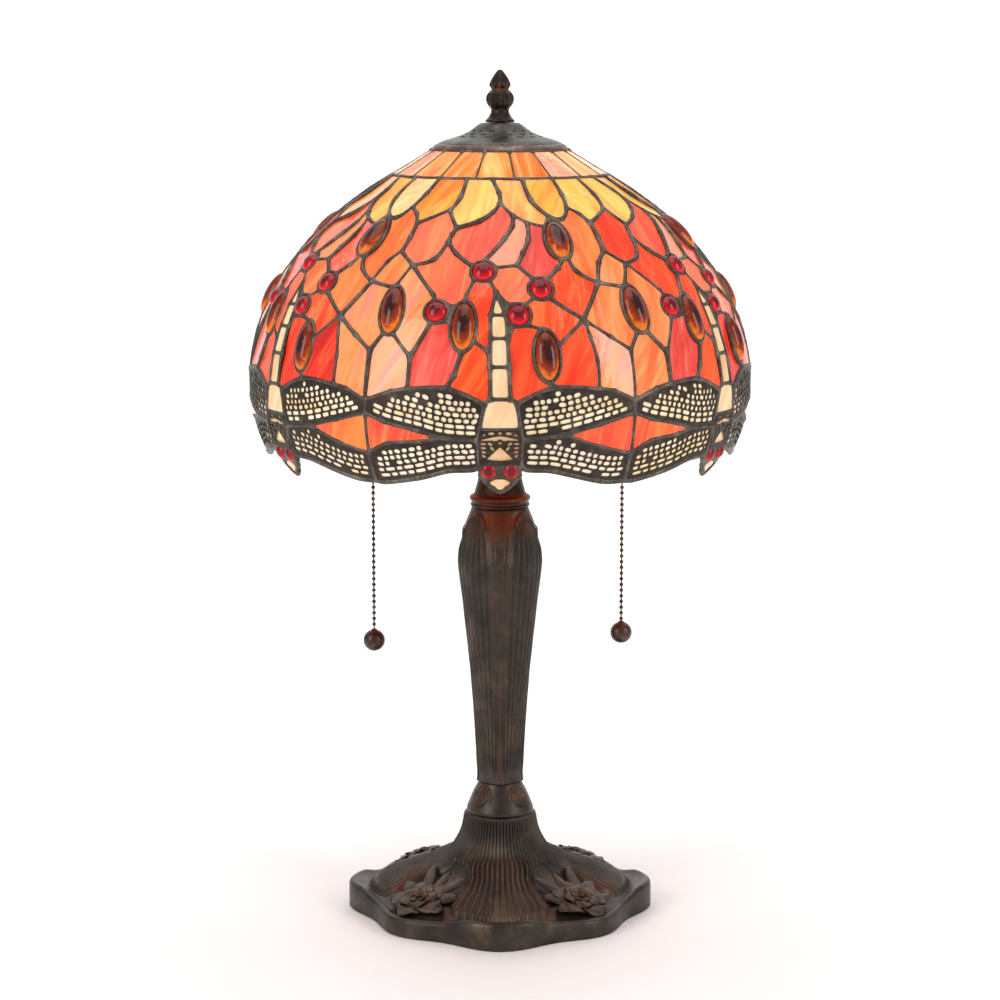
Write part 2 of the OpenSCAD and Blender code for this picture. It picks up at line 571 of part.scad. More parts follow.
// A link from the switch, a coupling and the chain hang on two crossed pins. Each pin sits in a fork
// of the coupling, and runs through the flat eye of the piece that it holds.
pin_r = 0.5;
eye_t = 1.2;
pin_eye_r = 1.35;
pin_hole_r = pin_r + 0.08;
fork_gap = eye_t + 0.7;
fork_reach = 1.3;
coupling_r = 1.9;
module pin_eye(neck) difference() {
    union() {
        rotate([90, 0, 0]) cylinder(r = pin_eye_r, h = eye_t, center = true);
        translate([-0.7, -eye_t / 2, 0]) cube([1.4, eye_t, neck]);
    }
    rotate([90, 0, 0]) cylinder(r = pin_hole_r, h = 2 * eye_t, center = true);
}
module pull_link(side) color(brass_tone) translate([side * chain_x(side), 0, 0]) {
    translate([0, 0, pivot_z]) pin_eye(3.2);
    translate([0, 0, pivot_z + 2.8]) cylinder(r = link_r, h = bell_z + 8.6 - pivot_z - 2.8);
}
module chain_coupling(side) color(brass_tone) translate([side * chain_x(side), 0, 0]) {
    difference() {
        translate([0, 0, lower_pivot_z - fork_reach])
            cylinder(r = coupling_r, h = pivot_z - lower_pivot_z + 2 * fork_reach);
        translate([-3, -fork_gap / 2, pivot_z - 1.65]) cube([6, fork_gap, 6]);
        translate([-fork_gap / 2, -3, lower_pivot_z - 4.35]) cube([fork_gap, 6, 6]);
    }
    translate([0, 0, pivot_z]) rotate([90, 0, 0]) cylinder(r = pin_r, h = 3, center = true);
    translate([0, 0, lower_pivot_z]) rotate([0, 90, 0]) cylinder(r = pin_r, h = 3, center = true);
}
module pull_chain(side) color(brass_tone) translate([side * chain_x(side), 0, 0]) {
    wire = 0.45;
    first = lower_pivot_z - 4;
    bottom = ball_z(side) + 6.6;
    n = floor((first - bottom - bead_r) / bead_pitch);
    translate([0, 0, lower_pivot_z]) rotate([0, 180, 90]) pin_eye(3.2);
    rotate_extrude() polygon(concat(
        [[0, first + bead_r + 0.2], [wire, first + bead_r + 0.2]],
        [for (i = [0:n]) let (c = first - i * bead_pitch) each
            arc_points([0, c], bead_r, acos(wire / bead_r), -acos(wire / bead_r), 4)],
        [[wire, bottom], [0, bottom]]
    ));
}
module ball_pull(side) color(bronze) translate([side * chain_x(side), 0, ball_z(side)]) {
    difference() {
        sphere(r = 6.7);
        translate([0, 0, 6.2]) cylinder(r = 1, h = 4);
    }
}

// ---------------------------------------------------------------- foot and column

// The foot's outline has four main lobes at the front, back and sides and four at the corners
function lobe_r(a, r = foot_r) = r + 3.6 * cos(8 * a) + 2.2 * cos(4 * a);
function foot_outline(r, n = 96) = [for (i = [0:n - 1]) let (a = i * 360 / n)
    lobe_r(a, r) * [cos(a), sin(a)]];
foot_top = 61.4;
FOOT_FLARE = [[21.6, foot_top], [22.1, 55], [23.4, 48.5], [26.2, 42], [30, 37.5], [40, 32],
    [55, 27], [70, 22.6], [80, 19], [84.5, foot_wall_h]];
module foot_body() {
    rotate_extrude() polygon(concat([[0, 12]], [[0, foot_top]], FOOT_FLARE, [[84.5, 12]]));
    linear_extrude(foot_wall_h) polygon(foot_outline(foot_r));
}
// The hollow under the foot, a wall's thickness inside its flare and its side
module foot_hollow() {
    translate([0, 0, -1]) linear_extrude(foot_wall_h - cast_t + 1)
        polygon(foot_outline(foot_r - cast_t));
    rotate_extrude() polygon(concat(
        [[0, 5], [78, 5]],
        [for (i = [len(FOOT_FLARE) - 2:-1:1]) FOOT_FLARE[i] - [cast_t * 0.6, cast_t]],
        [[FOOT_FLARE[0][0] - cast_t, foot_top - 6], [0, foot_top - 6]]
    ));
}
// A broad ribbed tongue runs from the stem down to each main lobe
module foot_tongue() rotate([90, 0, 0]) translate([0, 0, -8]) linear_extrude(16) polygon([
    [24, 46], [27.5, 43], [31, 40], [41, 34.8], [56, 30], [72, 25.6], [84, 21.5], [91, 17.2],
    [91, 14], [82, 16], [55, 24], [30, 34], [24, 42]
]);
// A flower: a cup with a rolled lip standing on a plate of six round petals
function petal_outline(n = 48) = [for (i = [0:n - 1]) let (a = i * 360 / n)
    (13 + 4 * cos(6 * a)) * [cos(a), sin(a)]];
module foot_flower() translate([66, 0, 20]) rotate([0, 16, 0]) {
    linear_extrude(5.4) polygon(petal_outline());
    translate([0, 0, 5.4]) rotate_extrude()
        polygon([[0, 0], [6, 0], [6, 3], [7.5, 6], [6.4, 6.6], [4.6, 3], [4, 1.5], [0, 1.5]]);
}
gland_z = 9;
gland_r = 4;
module base_casting() color(bronze) difference() {
    union() {
        foot_body();
        ring_of(4) foot_tongue();
    }
    foot_hollow();
    cylinder(r = rod_r + rod_gap, h = foot_top + 1);
    translate([0, 80, gland_z]) rotate([-90, 0, 0]) cylinder(r = gland_r + 0.05, h = 30);
}
module foot_flowers() color(bronze) rotate(45) ring_of(4) foot_flower();
module cord_gland() color([0.08, 0.08, 0.08]) translate([0, 0, gland_z]) rotate([-90, 0, 0])
    rotate_extrude() polygon([
        [2.8, 89], [gland_r, 89], [gland_r, 95.6], [6, 95.6], [5.4, 98.6], [2.8, 98.6]
    ]);
module base_weight() color([0.3, 0.3, 0.32]) rotate_extrude() polygon([
    [rod_r + rod_gap, 12], [68, 12], [68, 17], [14, 19], [14, foot_top - 6.1],
    [rod_r + rod_gap, foot_top - 6.1]
]);
module lock_washer() color([0.6, 0.6, 0.6]) rotate_extrude()
    polygon([[rod_r + rod_gap, 10.3], [11, 10.3], [11, 11.9], [rod_r + rod_gap, 11.9]]);
module rod_nut() color([0.62, 0.56, 0.36]) translate([0, 0, 4.2]) difference() {
    cylinder(r = 9.5, h = 6, $fn = 6);
    translate([0, 0, -1]) cylinder(r = rod_r + 0.05, h = 8);
}
module felt_pad() color([0.1, 0.16, 0.1]) translate([0, 0, 1])
    linear_extrude(2) polygon(foot_outline(foot_r - cast_t - 0.4));

collar_top = 81;
// A knop with four bosses joins the column to the foot
module column_collar() color(bronze) {
    rotate_extrude() polygon([
        [rod_r + rod_gap, foot_top + 0.1], [20.8, foot_top + 0.1], [20.6, 64], [19.5, 68],
        [17, 74.5], [13.5, collar_top], [rod_r + rod_gap, collar_top]
    ]);
    rotate(45) ring_of(4) translate([17.6, 0, 69.5]) rotate([0, 78, 0]) cylinder(r = 5.2, h = 5);
}
COLUMN_PROFILE = [[13.5, collar_top + 0.1], [13.2, 87.4], [13.8, 100], [14.7, 113], [15.7, 126],
    [16.9, 139], [18.1, 152], [19.7, 164.6], [21.2, 177], [22.1, 184], [23.4, 196.5],
    [24.9, 209], [26.1, 222], [25.8, 228], [24.5, 234.4], [23.3, 240.7], [21.4, 247],
    [18.9, 253], [17.8, neck_z - 0.1]];
module column() color(bronze) {
    n = len(COLUMN_PROFILE);
    hollow = [for (i = [n - 2:-1:2]) COLUMN_PROFILE[i] - [cast_t, 0]];
    rotate_extrude() polygon(concat(
        [[rod_r + rod_gap, collar_top + 0.1]], COLUMN_PROFILE,
        [[rod_r + rod_gap, neck_z - 0.1], [rod_r + rod_gap, 249]],
        [[12, 249]], [for (p = hollow) if (p[1] < 248) p], [[rod_r + rod_gap, 96]]
    ));
}

// ---------------------------------------------------------------- what is drawn

base_casting();
foot_flowers();
base_weight();
felt_pad();
cord_gland();
rod_nut();
lock_washer();
centre_rod();
column();
column_collar();
neck_cup();
cluster_body();
upper_rod();
shade_rest_washer();
socket_shell(-1);  // left_socket_shell
socket_shell(1);  // right_socket_shell
socket_core(-1);  // left_socket_core
socket_core(1);  // right_socket_core
contact(-1);  // left_contact
contact(1);  // right_contact
chain_bell(-1);  // left_chain_bell
chain_bell(1);  // right_chain_bell
bulb_glass(-1);  // left_bulb_glass
bulb_glass(1);  // right_bulb_glass
bulb_cap(-1);  // left_bulb_cap
bulb_cap(1);  // right_bulb_cap
pull_link(-1);  // left_pull_link
pull_link(1);  // right_pull_link
chain_coupling(-1);  // left_chain_coupling
chain_coupling(1);  // right_chain_coupling
pull_chain(-1);  // left_pull_chain
pull_chain(1);  // right_pull_chain
ball_pull(-1);  // left_ball_pull
ball_pull(1);  // right_ball_pull
shade_ring();
vented_cap();
finial();
band_glass();
petal_glass();
scarlet_glass();
ruby_glass();
tangerine_glass();
salmon_glass();
rose_glass();
border_glass();
tail_glass();
head_glass();
wing_glass();
round_jewels();
oval_jewels();
eye_jewels();
foil_frames();
wing_filigree();
body_filigree();
rim_wire();
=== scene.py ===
"""Stained glass dragonfly table lamp: the looks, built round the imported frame.

Shapes are worked out in millimetres in the frame's own axes, +Z up and the front towards -Y, and
new_mesh turns them into metres.
The shade's seams are one sector's network of junctions, turned six times round the axis.
"""

import math

import bpy
import numpy as np
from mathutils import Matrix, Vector
from mathutils.geometry import delaunay_2d_cdt


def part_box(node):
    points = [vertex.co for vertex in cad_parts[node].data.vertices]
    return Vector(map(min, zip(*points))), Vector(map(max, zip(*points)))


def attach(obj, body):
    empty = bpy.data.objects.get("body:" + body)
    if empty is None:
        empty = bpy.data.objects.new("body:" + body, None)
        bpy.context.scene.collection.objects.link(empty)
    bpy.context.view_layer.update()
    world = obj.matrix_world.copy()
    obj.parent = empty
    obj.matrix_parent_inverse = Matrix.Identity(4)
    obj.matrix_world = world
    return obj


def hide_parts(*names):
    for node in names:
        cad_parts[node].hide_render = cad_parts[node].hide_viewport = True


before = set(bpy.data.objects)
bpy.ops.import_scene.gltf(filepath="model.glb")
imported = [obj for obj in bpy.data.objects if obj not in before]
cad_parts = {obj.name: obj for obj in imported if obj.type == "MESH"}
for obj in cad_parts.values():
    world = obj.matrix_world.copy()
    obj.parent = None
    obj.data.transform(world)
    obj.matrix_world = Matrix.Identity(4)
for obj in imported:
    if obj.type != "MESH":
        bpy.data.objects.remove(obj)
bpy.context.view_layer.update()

MM = 0.001
SECTORS = 6
SECTOR = 360.0 / SECTORS
GLASS_T = 2.0


# ---------------------------------------------------------------- meshes from arrays

def grid_faces(rows, cols, wrap=False):
    """Quads of a rows x cols grid of points, joined round its second direction if wrap."""
    i, j = np.meshgrid(np.arange(rows - 1), np.arange(cols if wrap else cols - 1), indexing="ij")
    k = (j + 1) % cols
    return np.stack([i * cols + j, i * cols + k, (i + 1) * cols + k, (i + 1) * cols + j],
                    axis=-1).reshape(-1, 4)


def joined(parts):
    """Several (points, faces) shapes as one; faces may be arrays or lists of index lists."""
    points, faces, start = [], [], 0
    for p, f in parts:
        points.append(p)
        faces += [[int(a) + start for a in face] for face in f]
        start += len(p)
    return np.concatenate(points), faces


def turned(points, degrees):
    """Points turned about the vertical axis, anticlockwise from above."""
    a = math.radians(degrees)
    c, s = math.cos(a), math.sin(a)
    return points @ np.array([[c, s, 0], [-s, c, 0], [0, 0, 1]])


def new_mesh(name, points, faces, smooth=True):
    """A mesh from points in millimetres and the faces that join them, shaded smooth or flat."""
    mesh = bpy.data.meshes.new(name)
    mesh.from_pydata((np.asarray(points) * MM).tolist(), [], [list(map(int, f)) for f in faces])
    mesh.validate()
    mesh.polygons.foreach_set("use_smooth", np.full(len(mesh.polygons), smooth))
    mesh.update()
    return mesh


def piece(name, mesh, material, body, slot, replaces=()):
    """Puts a mesh into the scene as a named piece on its body, with its finish. The slot argument is not
    used.
    """
    obj = bpy.data.objects.new(name, mesh)
    bpy.context.scene.collection.objects.link(obj)
    mesh.materials.clear()
    mesh.materials.append(material)
    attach(obj, body)
    if replaces:
        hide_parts(*replaces)
    return obj


def set_values(mesh, name, values):
    """One number per point, for a material to read."""
    mesh.attributes.new(name, "FLOAT", "POINT").data.foreach_set(
        "value", np.asarray(values, np.float32))


def set_flow(mesh, flow):
    """A UV map from one (along, across) pair per point, in metres."""
    corner = np.zeros(len(mesh.loops), np.int32)
    mesh.loops.foreach_get("vertex_index", corner)
    layer = mesh.uv_layers.new(name="flow")
    layer.data.foreach_set("uv", np.asarray(flow, np.float32)[corner].ravel())


def smooth_step(low, high, x):
    """Rises from 0 at low to 1 at high with level ends; low may be above high."""
    t = np.clip((np.asarray(x, float) - low) / (high - low), 0, 1)
    return t * t * (3 - 2 * t)


def curve_through(points, steps=6):
    """A smooth Catmull-Rom curve through the given points, steps samples a stretch."""
    P = np.asarray(points, float)
    P = np.concatenate([2 * P[:1] - P[1:2], P, 2 * P[-1:] - P[-2:-1]])
    t = np.linspace(0, 1, steps, endpoint=False)[None, :, None]
    a, b, c, d = (P[k:len(P) - 3 + k][:, None, :] for k in range(4))
    curve = 0.5 * (2 * b + (c - a) * t + (2 * a - 5 * b + 4 * c - d) * t ** 2
                   + (3 * b - a - 3 * c + d) * t ** 3)
    return np.concatenate([curve.reshape(-1, P.shape[1]), P[-2:-1]])


def sweep(path, wide, high, normals, sides=8, closed=False):
    """An oval profile, wide across and high along the normals, carried along a path."""
    path = np.asarray(path, float)
    along = np.roll(path, -1, 0) - np.roll(path, 1, 0) if closed else np.gradient(path, axis=0)
    along /= np.linalg.norm(along, axis=1, keepdims=True) + 1e-12
    across = np.cross(along, normals)
    across /= np.linalg.norm(across, axis=1, keepdims=True) + 1e-12
    up = np.cross(across, along)
    a = np.linspace(0, 2 * np.pi, sides, endpoint=False)
    wide = np.broadcast_to(wide, len(path))[:, None, None]
    high = np.broadcast_to(high, len(path))[:, None, None]
    rings = (path[:, None, :] + wide * np.cos(a)[None, :, None] * across[:, None, :]
             + high * np.sin(a)[None, :, None] * up[:, None, :])
    faces = grid_faces(len(path), sides, wrap=True)[:, ::-1].tolist()
    if closed:
        last = (len(path) - 1) * sides
        k = np.arange(sides)
        k2 = (k + 1) % sides
        faces += np.stack([last + k, k, k2, last + k2], axis=1).tolist()
    else:
        end = len(path) * sides
        faces += [list(range(sides)), list(range(end - sides, end))[::-1]]
    return rings.reshape(-1, 3), faces


def ball(centre, radii, axes, rings=8, turns=12):
    """An ellipsoid about centre, with its three radii along the rows of axes."""
    u = np.linspace(0, np.pi, rings + 1)[:, None]
    v = np.linspace(0, 2 * np.pi, turns, endpoint=False)[None, :]
    unit = np.stack([np.sin(u) * np.cos(v), np.sin(u) * np.sin(v), np.cos(u) + 0 * v], axis=-1)
    points = unit.reshape(-1, 3) * np.asarray(radii) @ np.asarray(axes) + centre
    return points, grid_faces(rings + 1, turns, wrap=True)


WEB = 0.63
SOFTENING = 3


def fused(name, points, faces):
    """Overlapping closed shapes run together as one skin of WEB-sized cells, its creases softened."""
    obj = bpy.data.objects.new(name + "_rough", new_mesh(name + "_rough", points, faces))
    bpy.context.scene.collection.objects.link(obj)
    remesh = obj.modifiers.new("run_together", "REMESH")
    remesh.mode = "VOXEL"
    remesh.voxel_size = WEB * MM
    soften = obj.modifiers.new("soften", "SMOOTH")
    soften.factor = 0.5
    soften.iterations = SOFTENING
    ready = obj.evaluated_get(bpy.context.evaluated_depsgraph_get())
    mesh = bpy.data.meshes.new_from_object(ready)
    bpy.data.objects.remove(obj)
    mesh.name = name
    mesh.polygons.foreach_set("use_smooth", np.ones(len(mesh.polygons), bool))
    return mesh


# ---------------------------------------------------------------- the shade's surface

RING_R, RING_Z = 40.3, 474.5
BAND_Z = 459.5
WIDEST_Z = 338.0
DOME = np.array([[65, BAND_Z], [149.6, 411.2], [152.5, 346.4], [152.5, WIDEST_Z]])
SKIRT = np.array([[152.5, WIDEST_Z], [152, 304], [136, 284]])


def bezier(controls, t):
    """A Bezier curve: repeated blends of neighbouring controls by t."""
    points = np.repeat(controls[None], len(t), axis=0)
    while points.shape[1] > 1:
        points = points[:, :-1] * (1 - t)[:, None, None] + points[:, 1:] * t[:, None, None]
    return points[:, 0]


_outline = np.concatenate([[[RING_R, RING_Z]], bezier(DOME, np.linspace(0, 1, 200)),
                           bezier(SKIRT, np.linspace(0, 1, 80))[1:]])[::-1]


def dome_r(z):
    """The shade's radius at a height: a cone, then two smooth curves down to the rim."""
    return np.interp(z, _outline[:, 1], _outline[:, 0])


def lean(z):
    """How much a length on the shade shrinks when its height alone is read."""
    slope = dome_r(z + 0.5) - dome_r(z - 0.5)
    return 1 / np.sqrt(1 + slope ** 2)


def on_shade(p, out=0.0):
    """Points from (degrees round, height), moved out along the surface's own normal."""
    p = np.atleast_2d(p)
    a, z = np.radians(p[:, 0]), p[:, 1]
    slope = dome_r(z + 0.5) - dome_r(z - 0.5)
    k = lean(z)
    r = dome_r(z) + out * k
    return np.stack([r * np.sin(a), -r * np.cos(a), z - out * k * slope], axis=1)


def shade_normal(p):
    """The shade's outward normal at (degrees round, height)."""
    return on_shade(p, 1.0) - on_shade(p, 0.0)


# ---------------------------------------------------------------- the seams of one sector

# Each junction of seams: its angle round the axis from the front, and its height. A + before a
# name means the same junction one sector further on.
JUNCTIONS = dict(
    p1=(-32.5, 459.5), p2=(-17, 459.5), p3=(-4, 459.5), p4=(11.5, 459.5),
    q1=(-33, 451), q2=(-16.5, 450), q3=(-0.5, 452.5), q4=(12.5, 448.5),
    n3=(-34.5, 443.5), n3a=(-31, 440.5), n4=(-28.5, 435.5), n5=(-18.5, 442.5),
    n6=(-14, 433.5), n6a=(-7, 437.5), n6b=(-2.5, 442), n7=(0, 446.5),
    n8=(4.5, 440), n9=(9, 436), n11=(17, 439.5), n12=(21.5, 438),
    a1=(-29, 420), a1a=(-28.5, 428), a2=(-24, 413), a2a=(-18.5, 416.5),
    a3=(-15.5, 426), a3a=(-15, 430), a4a=(-12.5, 420), a5a=(1.5, 428.5),
    a5b=(4, 434.5), a7=(4.5, 413.5), a7a=(6.5, 420.5), a7b=(8.5, 427.5),
    a9a=(15.5, 412), a10a=(20.5, 410), a11=(25.5, 403.5), a11a=(28, 414.5),
    d1=(-16.5, 397.5), d3=(-8, 398), e1=(-20, 364), e5=(-2.5, 367.5),
    e6=(-30, 366.5), f2=(1.8, 393), f4=(19.5, 384),
    g0=(-30, 338.5), g1=(21.5, 346), g1a=(21.5, 362), g1b=(20.5, 374.5),
    g2=(12, 347.5), g3a=(25.5, 374), g4=(3.6, 339), g5=(-3.3, 338.6),
    g6=(-11.5, 347), g6a=(-10, 354), g7=(-20, 346),
    tip=(-1, 399.5), t1l=(-2.2, 387), t1r=(1.4, 387), t2l=(-2.1, 374.5),
    t2r=(1.7, 374.5), t3l=(-2.1, 359), t3r=(1.9, 359), t4l=(-2.0, 341.4),
    t4r=(2.2, 341.4), b1l=(-4.3, 324), b1r=(4.3, 324), b2l=(-4.6, 303.6),
    b2r=(4.6, 303.6), h1l=(-4.2, 297.2), h1r=(4.2, 297.2), k1=(-3.1, 293.3), k2=(0, 296.4),
    k3=(3.1, 293.3), h2l=(-1.6, 289.6), h2r=(1.6, 289.6), chin=(0, 287.3),
    w1=(-24, 344), w2=(-30, 331.5), w3=(-25.5, 327), w4=(-17.5, 322.5),
    w5=(-12, 319), w6=(-4.8, 318), w7=(-17.5, 316.5), w8=(-25, 314.5),
    w9=(-30, 308), w10=(-30, 291.5), w11=(-27.5, 291), w12=(-18.5, 295),
    w13=(-11.5, 300), w14=(-5, 302), x1=(25, 344.5), x3=(22, 326),
    x5=(13, 320.5), x6=(4.8, 318), x8=(22, 313), x11=(24, 292),
    x13=(11.5, 300), x14=(5, 302),
)

# Each jewel: its angle and height, its half width and half height, and its tilt in degrees.
JEWELS = dict(
    C1=(-4.3, 410.3, 7, 7, 0), C2=(-15, 388.5, 7, 7, 0), C3=(10.1, 401, 7, 7, 0),
    C4=(4.3, 387, 7, 7, 0), O1=(17.6, 427, 7.5, 15, 0), O2=(-8.3, 381, 7.5, 15, 0),
    O3=(10.3, 365, 7.5, 15, 3), O4=(-26.2, 388.5, 7.5, 15, 4),
)

# Each piece of glass of one sector, by finish: the junctions round it, where C1:20:90:2 runs
# round jewel C1 from 20 to 90 degrees in 2 steps.
PANES = dict(
    golden=["p1 p2 q2 n5 n4 n3a n3 q1", "p2 p3 q3 n7 n6b n6a n6 n5 q2",
            "p3 p4 q4 n11 O1:110:140:1 n9 n8 n7 q3", "p4 +p1 +q1 +n3 n12 n11 q4"],
    scarlet=["n4 n5 n6 a3a a3 a2a a2 a1 a1a",
             "a2 a2a a3 a4a C1:150:230:3 d3 O2:90:130:2 C2:35:110:3 d1",
             "n6 n6a n6b n7 n8 a5b a5a C1:90:150:3 a4a a3 a3a",
             "C1:230:300:3 tip t1l t2l e5 O2:-35:90:6 d3", "O2:-90:-35:3 e5 t3l t4l g5 g6 g6a"],
    ruby=["n9 O1:140:270:6 a9a C3:55:120:3 a7 a7a a7b",
          "C4:245:300:3 O3:95:270:8 g2 g4 t4r t3r t2r", "f4 g1b g1a g1 g2 O3:-90:20:6"],
    tangerine=["O1:-70:80:7 n11 n12 +n3 +n3a +n4 +a1a +a1 a11a a11 a10a",
               "O1:-90:-70:1 a10a a11 f4 C3:-55:55:5 a9a",
               "C1:0:20:1 a7 C3:120:235:5 C4:60:115:3 f2 tip C1:-60:-30:2",
               "C3:235:305:3 f4 O3:20:95:4 C4:-60:60:6"],
    salmon=["+a1 +a2 +O4:95:110:1 a11 a11a", "a2 d1 C2:110:250:6 e1 O4:-70:95:7",
            "n8 n9 a7b a7a a7 C1:20:90:3 a5a a5b", "f4 g3a +e6 +g0 x1 g1 g1a g1b",
            "e6 O4:-115:-70:2 e1 g7 w1 g0", "a11 +O4:110:245:6 +e6 g3a f4"],
    rose=["e1 C2:-110:-60:3 O2:172:270:5 g6a g6 g7"],
    border=["w2 w3 w4 w5 w7 w8 w9", "+w2 +w9 x8 x5 x3"],
    cream=["tip t1r t1l", "t1l t1r t2r t2l", "t2l t2r t3r t3l", "t3l t3r t4r t4l",
           "t4l t4r g4 b1r b1l g5", "b1l b1r x6 b2r b2l w6", "k1 h2l chin h2r k3 k2"],
)
WINGS = ["g0 w1 g7 g6 g5 w6 w5 w4 w3 w2", "g4 g2 g1 x1 +g0 +w2 x3 x5 x6",
         "w6 w14 w13 w12 w11 w10 w9 w8 w7 w5", "x6 x5 x8 +w9 +w10 x11 x13 x14"]
FOREHEAD = "b2l b2r h1r k3 k2 k1 h1l"

# Runs of junctions that a seam follows smoothly although other seams meet it on the way.
RUNS = ["g0 w1 g7 g6 g5", "w2 w3 w4 w5 w6", "w9 w8 w7 w5 w6", "w10 w11 w12 w13 w14",
        "g4 g2 g1 x1 +g0", "x6 x5 x3 +w2", "x6 x5 x8 +w9", "x14 x13 x11 +w10",
        "t4l g5 b1l", "t4r g4 b1r", "k1 k2 k3"]


def split_turn(name):
    """A name without its + signs, and how many sectors on they stand for."""
    bare = name.lstrip("+")
    return bare, len(name) - len(bare)


def place(name):
    """(degrees, height) of a junction, or of a point such as C1@20 on a jewel's edge."""
    bare, turn = split_turn(name)
    if "@" not in bare:
        a, z = JUNCTIONS[bare]
        return np.array([a + turn * SECTOR, z], float)
    jewel, u = bare.split("@")
    return jewel_edge(jewel, float(u), turn)


def jewel_edge(jewel, u, turn=0, grow=0.0):
    """Points (degrees, height) on a jewel's outline at the angles u round it."""
    a, z, half_w, half_h, tilt = JEWELS[jewel]
    u, t = np.radians(u), math.radians(tilt)
    x, y = (half_w + grow) * np.cos(u), (half_h + grow) * np.sin(u)
    across, up = x * math.cos(t) - y * math.sin(t), x * math.sin(t) + y * math.cos(t)
    return np.stack([a + turn * SECTOR + np.degrees(across / dome_r(z)), z + up * lean(z)], axis=-1)


def stops(piece):
    """The names round a piece of glass, each arc written out as points on its jewel."""
    names = []
    for item in piece.split():
        bare, turn = split_turn(item)
        if ":" in bare:
            jewel, start, end, steps = bare.split(":")
            names += ["+" * turn + jewel + "@%g" % u
                      for u in np.linspace(float(start), float(end), int(steps) + 1)]
        else:
            names.append(item)
    return names


def all_seams():
    """Every seam of one sector once, as pairs of names, and each junction's neighbours."""
    seams, near = {}, {}
    for piece in sum(PANES.values(), []) + WINGS + [FOREHEAD]:
        names = stops(piece)
        for a, b in zip(names, names[1:] + names[:1]):
            (bare_a, turn_a), (bare_b, turn_b) = split_turn(a), split_turn(b)
            if "@" in a and "@" in b and bare_a[:2] == bare_b[:2]:
                continue
            near.setdefault(bare_a, set()).add((bare_b, turn_b - turn_a))
            near.setdefault(bare_b, set()).add((bare_a, turn_a - turn_b))
            if (bare_b, bare_a, turn_a - turn_b) not in seams:
                seams[(bare_a, bare_b, turn_b - turn_a)] = (
                    "+" * max(0, turn_a - turn_b) + bare_a, "+" * max(0, turn_b - turn_a) + bare_b)
    return list(seams.values()), near


SEAMS, NEAR = all_seams()
FIRM = {"h1l", "h1r", "h2l", "h2r", "chin"}


def running_on():
    """For each seam's end on a run, the way on: half the step from one neighbour to the other."""
    ways = {}
    for run in RUNS:
        names = run.split()
        for before, here, after in zip(names, names[1:], names[2:]):
            half = (place(after) - place(before)) / 2
            bare, turn = split_turn(here)
            for other, way in ((after, half), (before, -half)):
                far, far_turn = split_turn(other)
                ways.setdefault((bare, far, far_turn - turn), way)
    return ways


RUN_ON = running_on()


def along_at(name, other):
    """The direction of the seam from name to other where its line runs on, or None at an end."""
    (bare, turn), (far, far_turn) = split_turn(name), split_turn(other)
    if (bare, far, far_turn - turn) in RUN_ON:
        return RUN_ON[bare, far, far_turn - turn]
    near = sorted(NEAR.get(bare, ()))
    if len(near) != 2 or "@" in bare or bare in FIRM:
        return None
    ends = [place(n) + [(t + turn) * SECTOR, 0] for n, t in near]
    here = (ends[1] - ends[0]) / 2
    return here if here @ (place(other) - place(name)) > 0 else -here


def seam_curve(a, b, steps=7):
    """Points from junction a to junction b, a cubic that passes soft junctions smoothly."""
    start, end = place(a), place(b)
    chord = end - start
    out, arrive = along_at(a, b), along_at(b, a)
    arrive = None if arrive is None else -arrive
    if out is not None:
        out = out * min(1, np.linalg.norm(chord) / (np.linalg.norm(out) + 1e-9))
    if arrive is not None:
        arrive = arrive * min(1, np.linalg.norm(chord) / (np.linalg.norm(arrive) + 1e-9))
    if out is None:
        out = chord if arrive is None else 1.5 * chord - 0.5 * arrive
    if arrive is None:
        arrive = 1.5 * chord - 0.5 * out
    t = np.linspace(0, 1, steps)[:, None]
    return ((2 * t ** 3 - 3 * t ** 2 + 1) * start + (t ** 3 - 2 * t ** 2 + t) * out
            + (3 * t ** 2 - 2 * t ** 3) * end + (t ** 3 - t ** 2) * arrive)


def pane_outline(piece):
    """The smooth outline of a piece of glass, anticlockwise as seen from outside."""
    names = stops(piece)
    parts = []
    for a, b in zip(names, names[1:] + names[:1]):
        on_jewel = "@" in a and "@" in b and split_turn(a)[0][:2] == split_turn(b)[0][:2]
        parts.append(place(a)[None] if on_jewel else seam_curve(a, b)[:-1])
    outline = np.concatenate(parts)
    return outline if signed_area(outline) > 0 else outline[::-1]


def signed_area(Q):
    """Half the sum of cross products round an outline: positive if anticlockwise."""
    N = np.roll(Q, -1, 0)
    return 0.5 * np.sum(Q[:, 0] * N[:, 1] - N[:, 0] * Q[:, 1])


def drawn_in(Q, d):
    """A flat outline drawn in by d all round, along the mean of its two edges' normals."""
    before, after = Q - np.roll(Q, 1, 0), np.roll(Q, -1, 0) - Q
    na, nb = (np.stack([-e[:, 1], e[:, 0]], 1) / (np.linalg.norm(e, axis=1, keepdims=True) + 1e-9)
              for e in (before, after))
    return Q + (na + nb) * d / np.maximum(0.5, 1 + np.sum(na * nb, 1))[:, None]


def best_plane(outline):
    """The centre and the across, up and outward directions of the plane nearest an outline."""
    P = on_shade(outline)
    centre = P.mean(0)
    normal = np.cross(P - centre, np.roll(P, -1, 0) - centre).sum(0)
    normal /= np.linalg.norm(normal)
    x = np.cross([0, 0, 1], normal)
    x /= np.linalg.norm(x)
    return centre, x, np.cross(normal, x), normal


def proud(outline):
    """How far a flat plate with this outline would stand out of the shade at its worst corner."""
    centre, _, _, normal = best_plane(outline)
    return max(0.0, -float(((on_shade(outline) - centre) @ normal).min()))


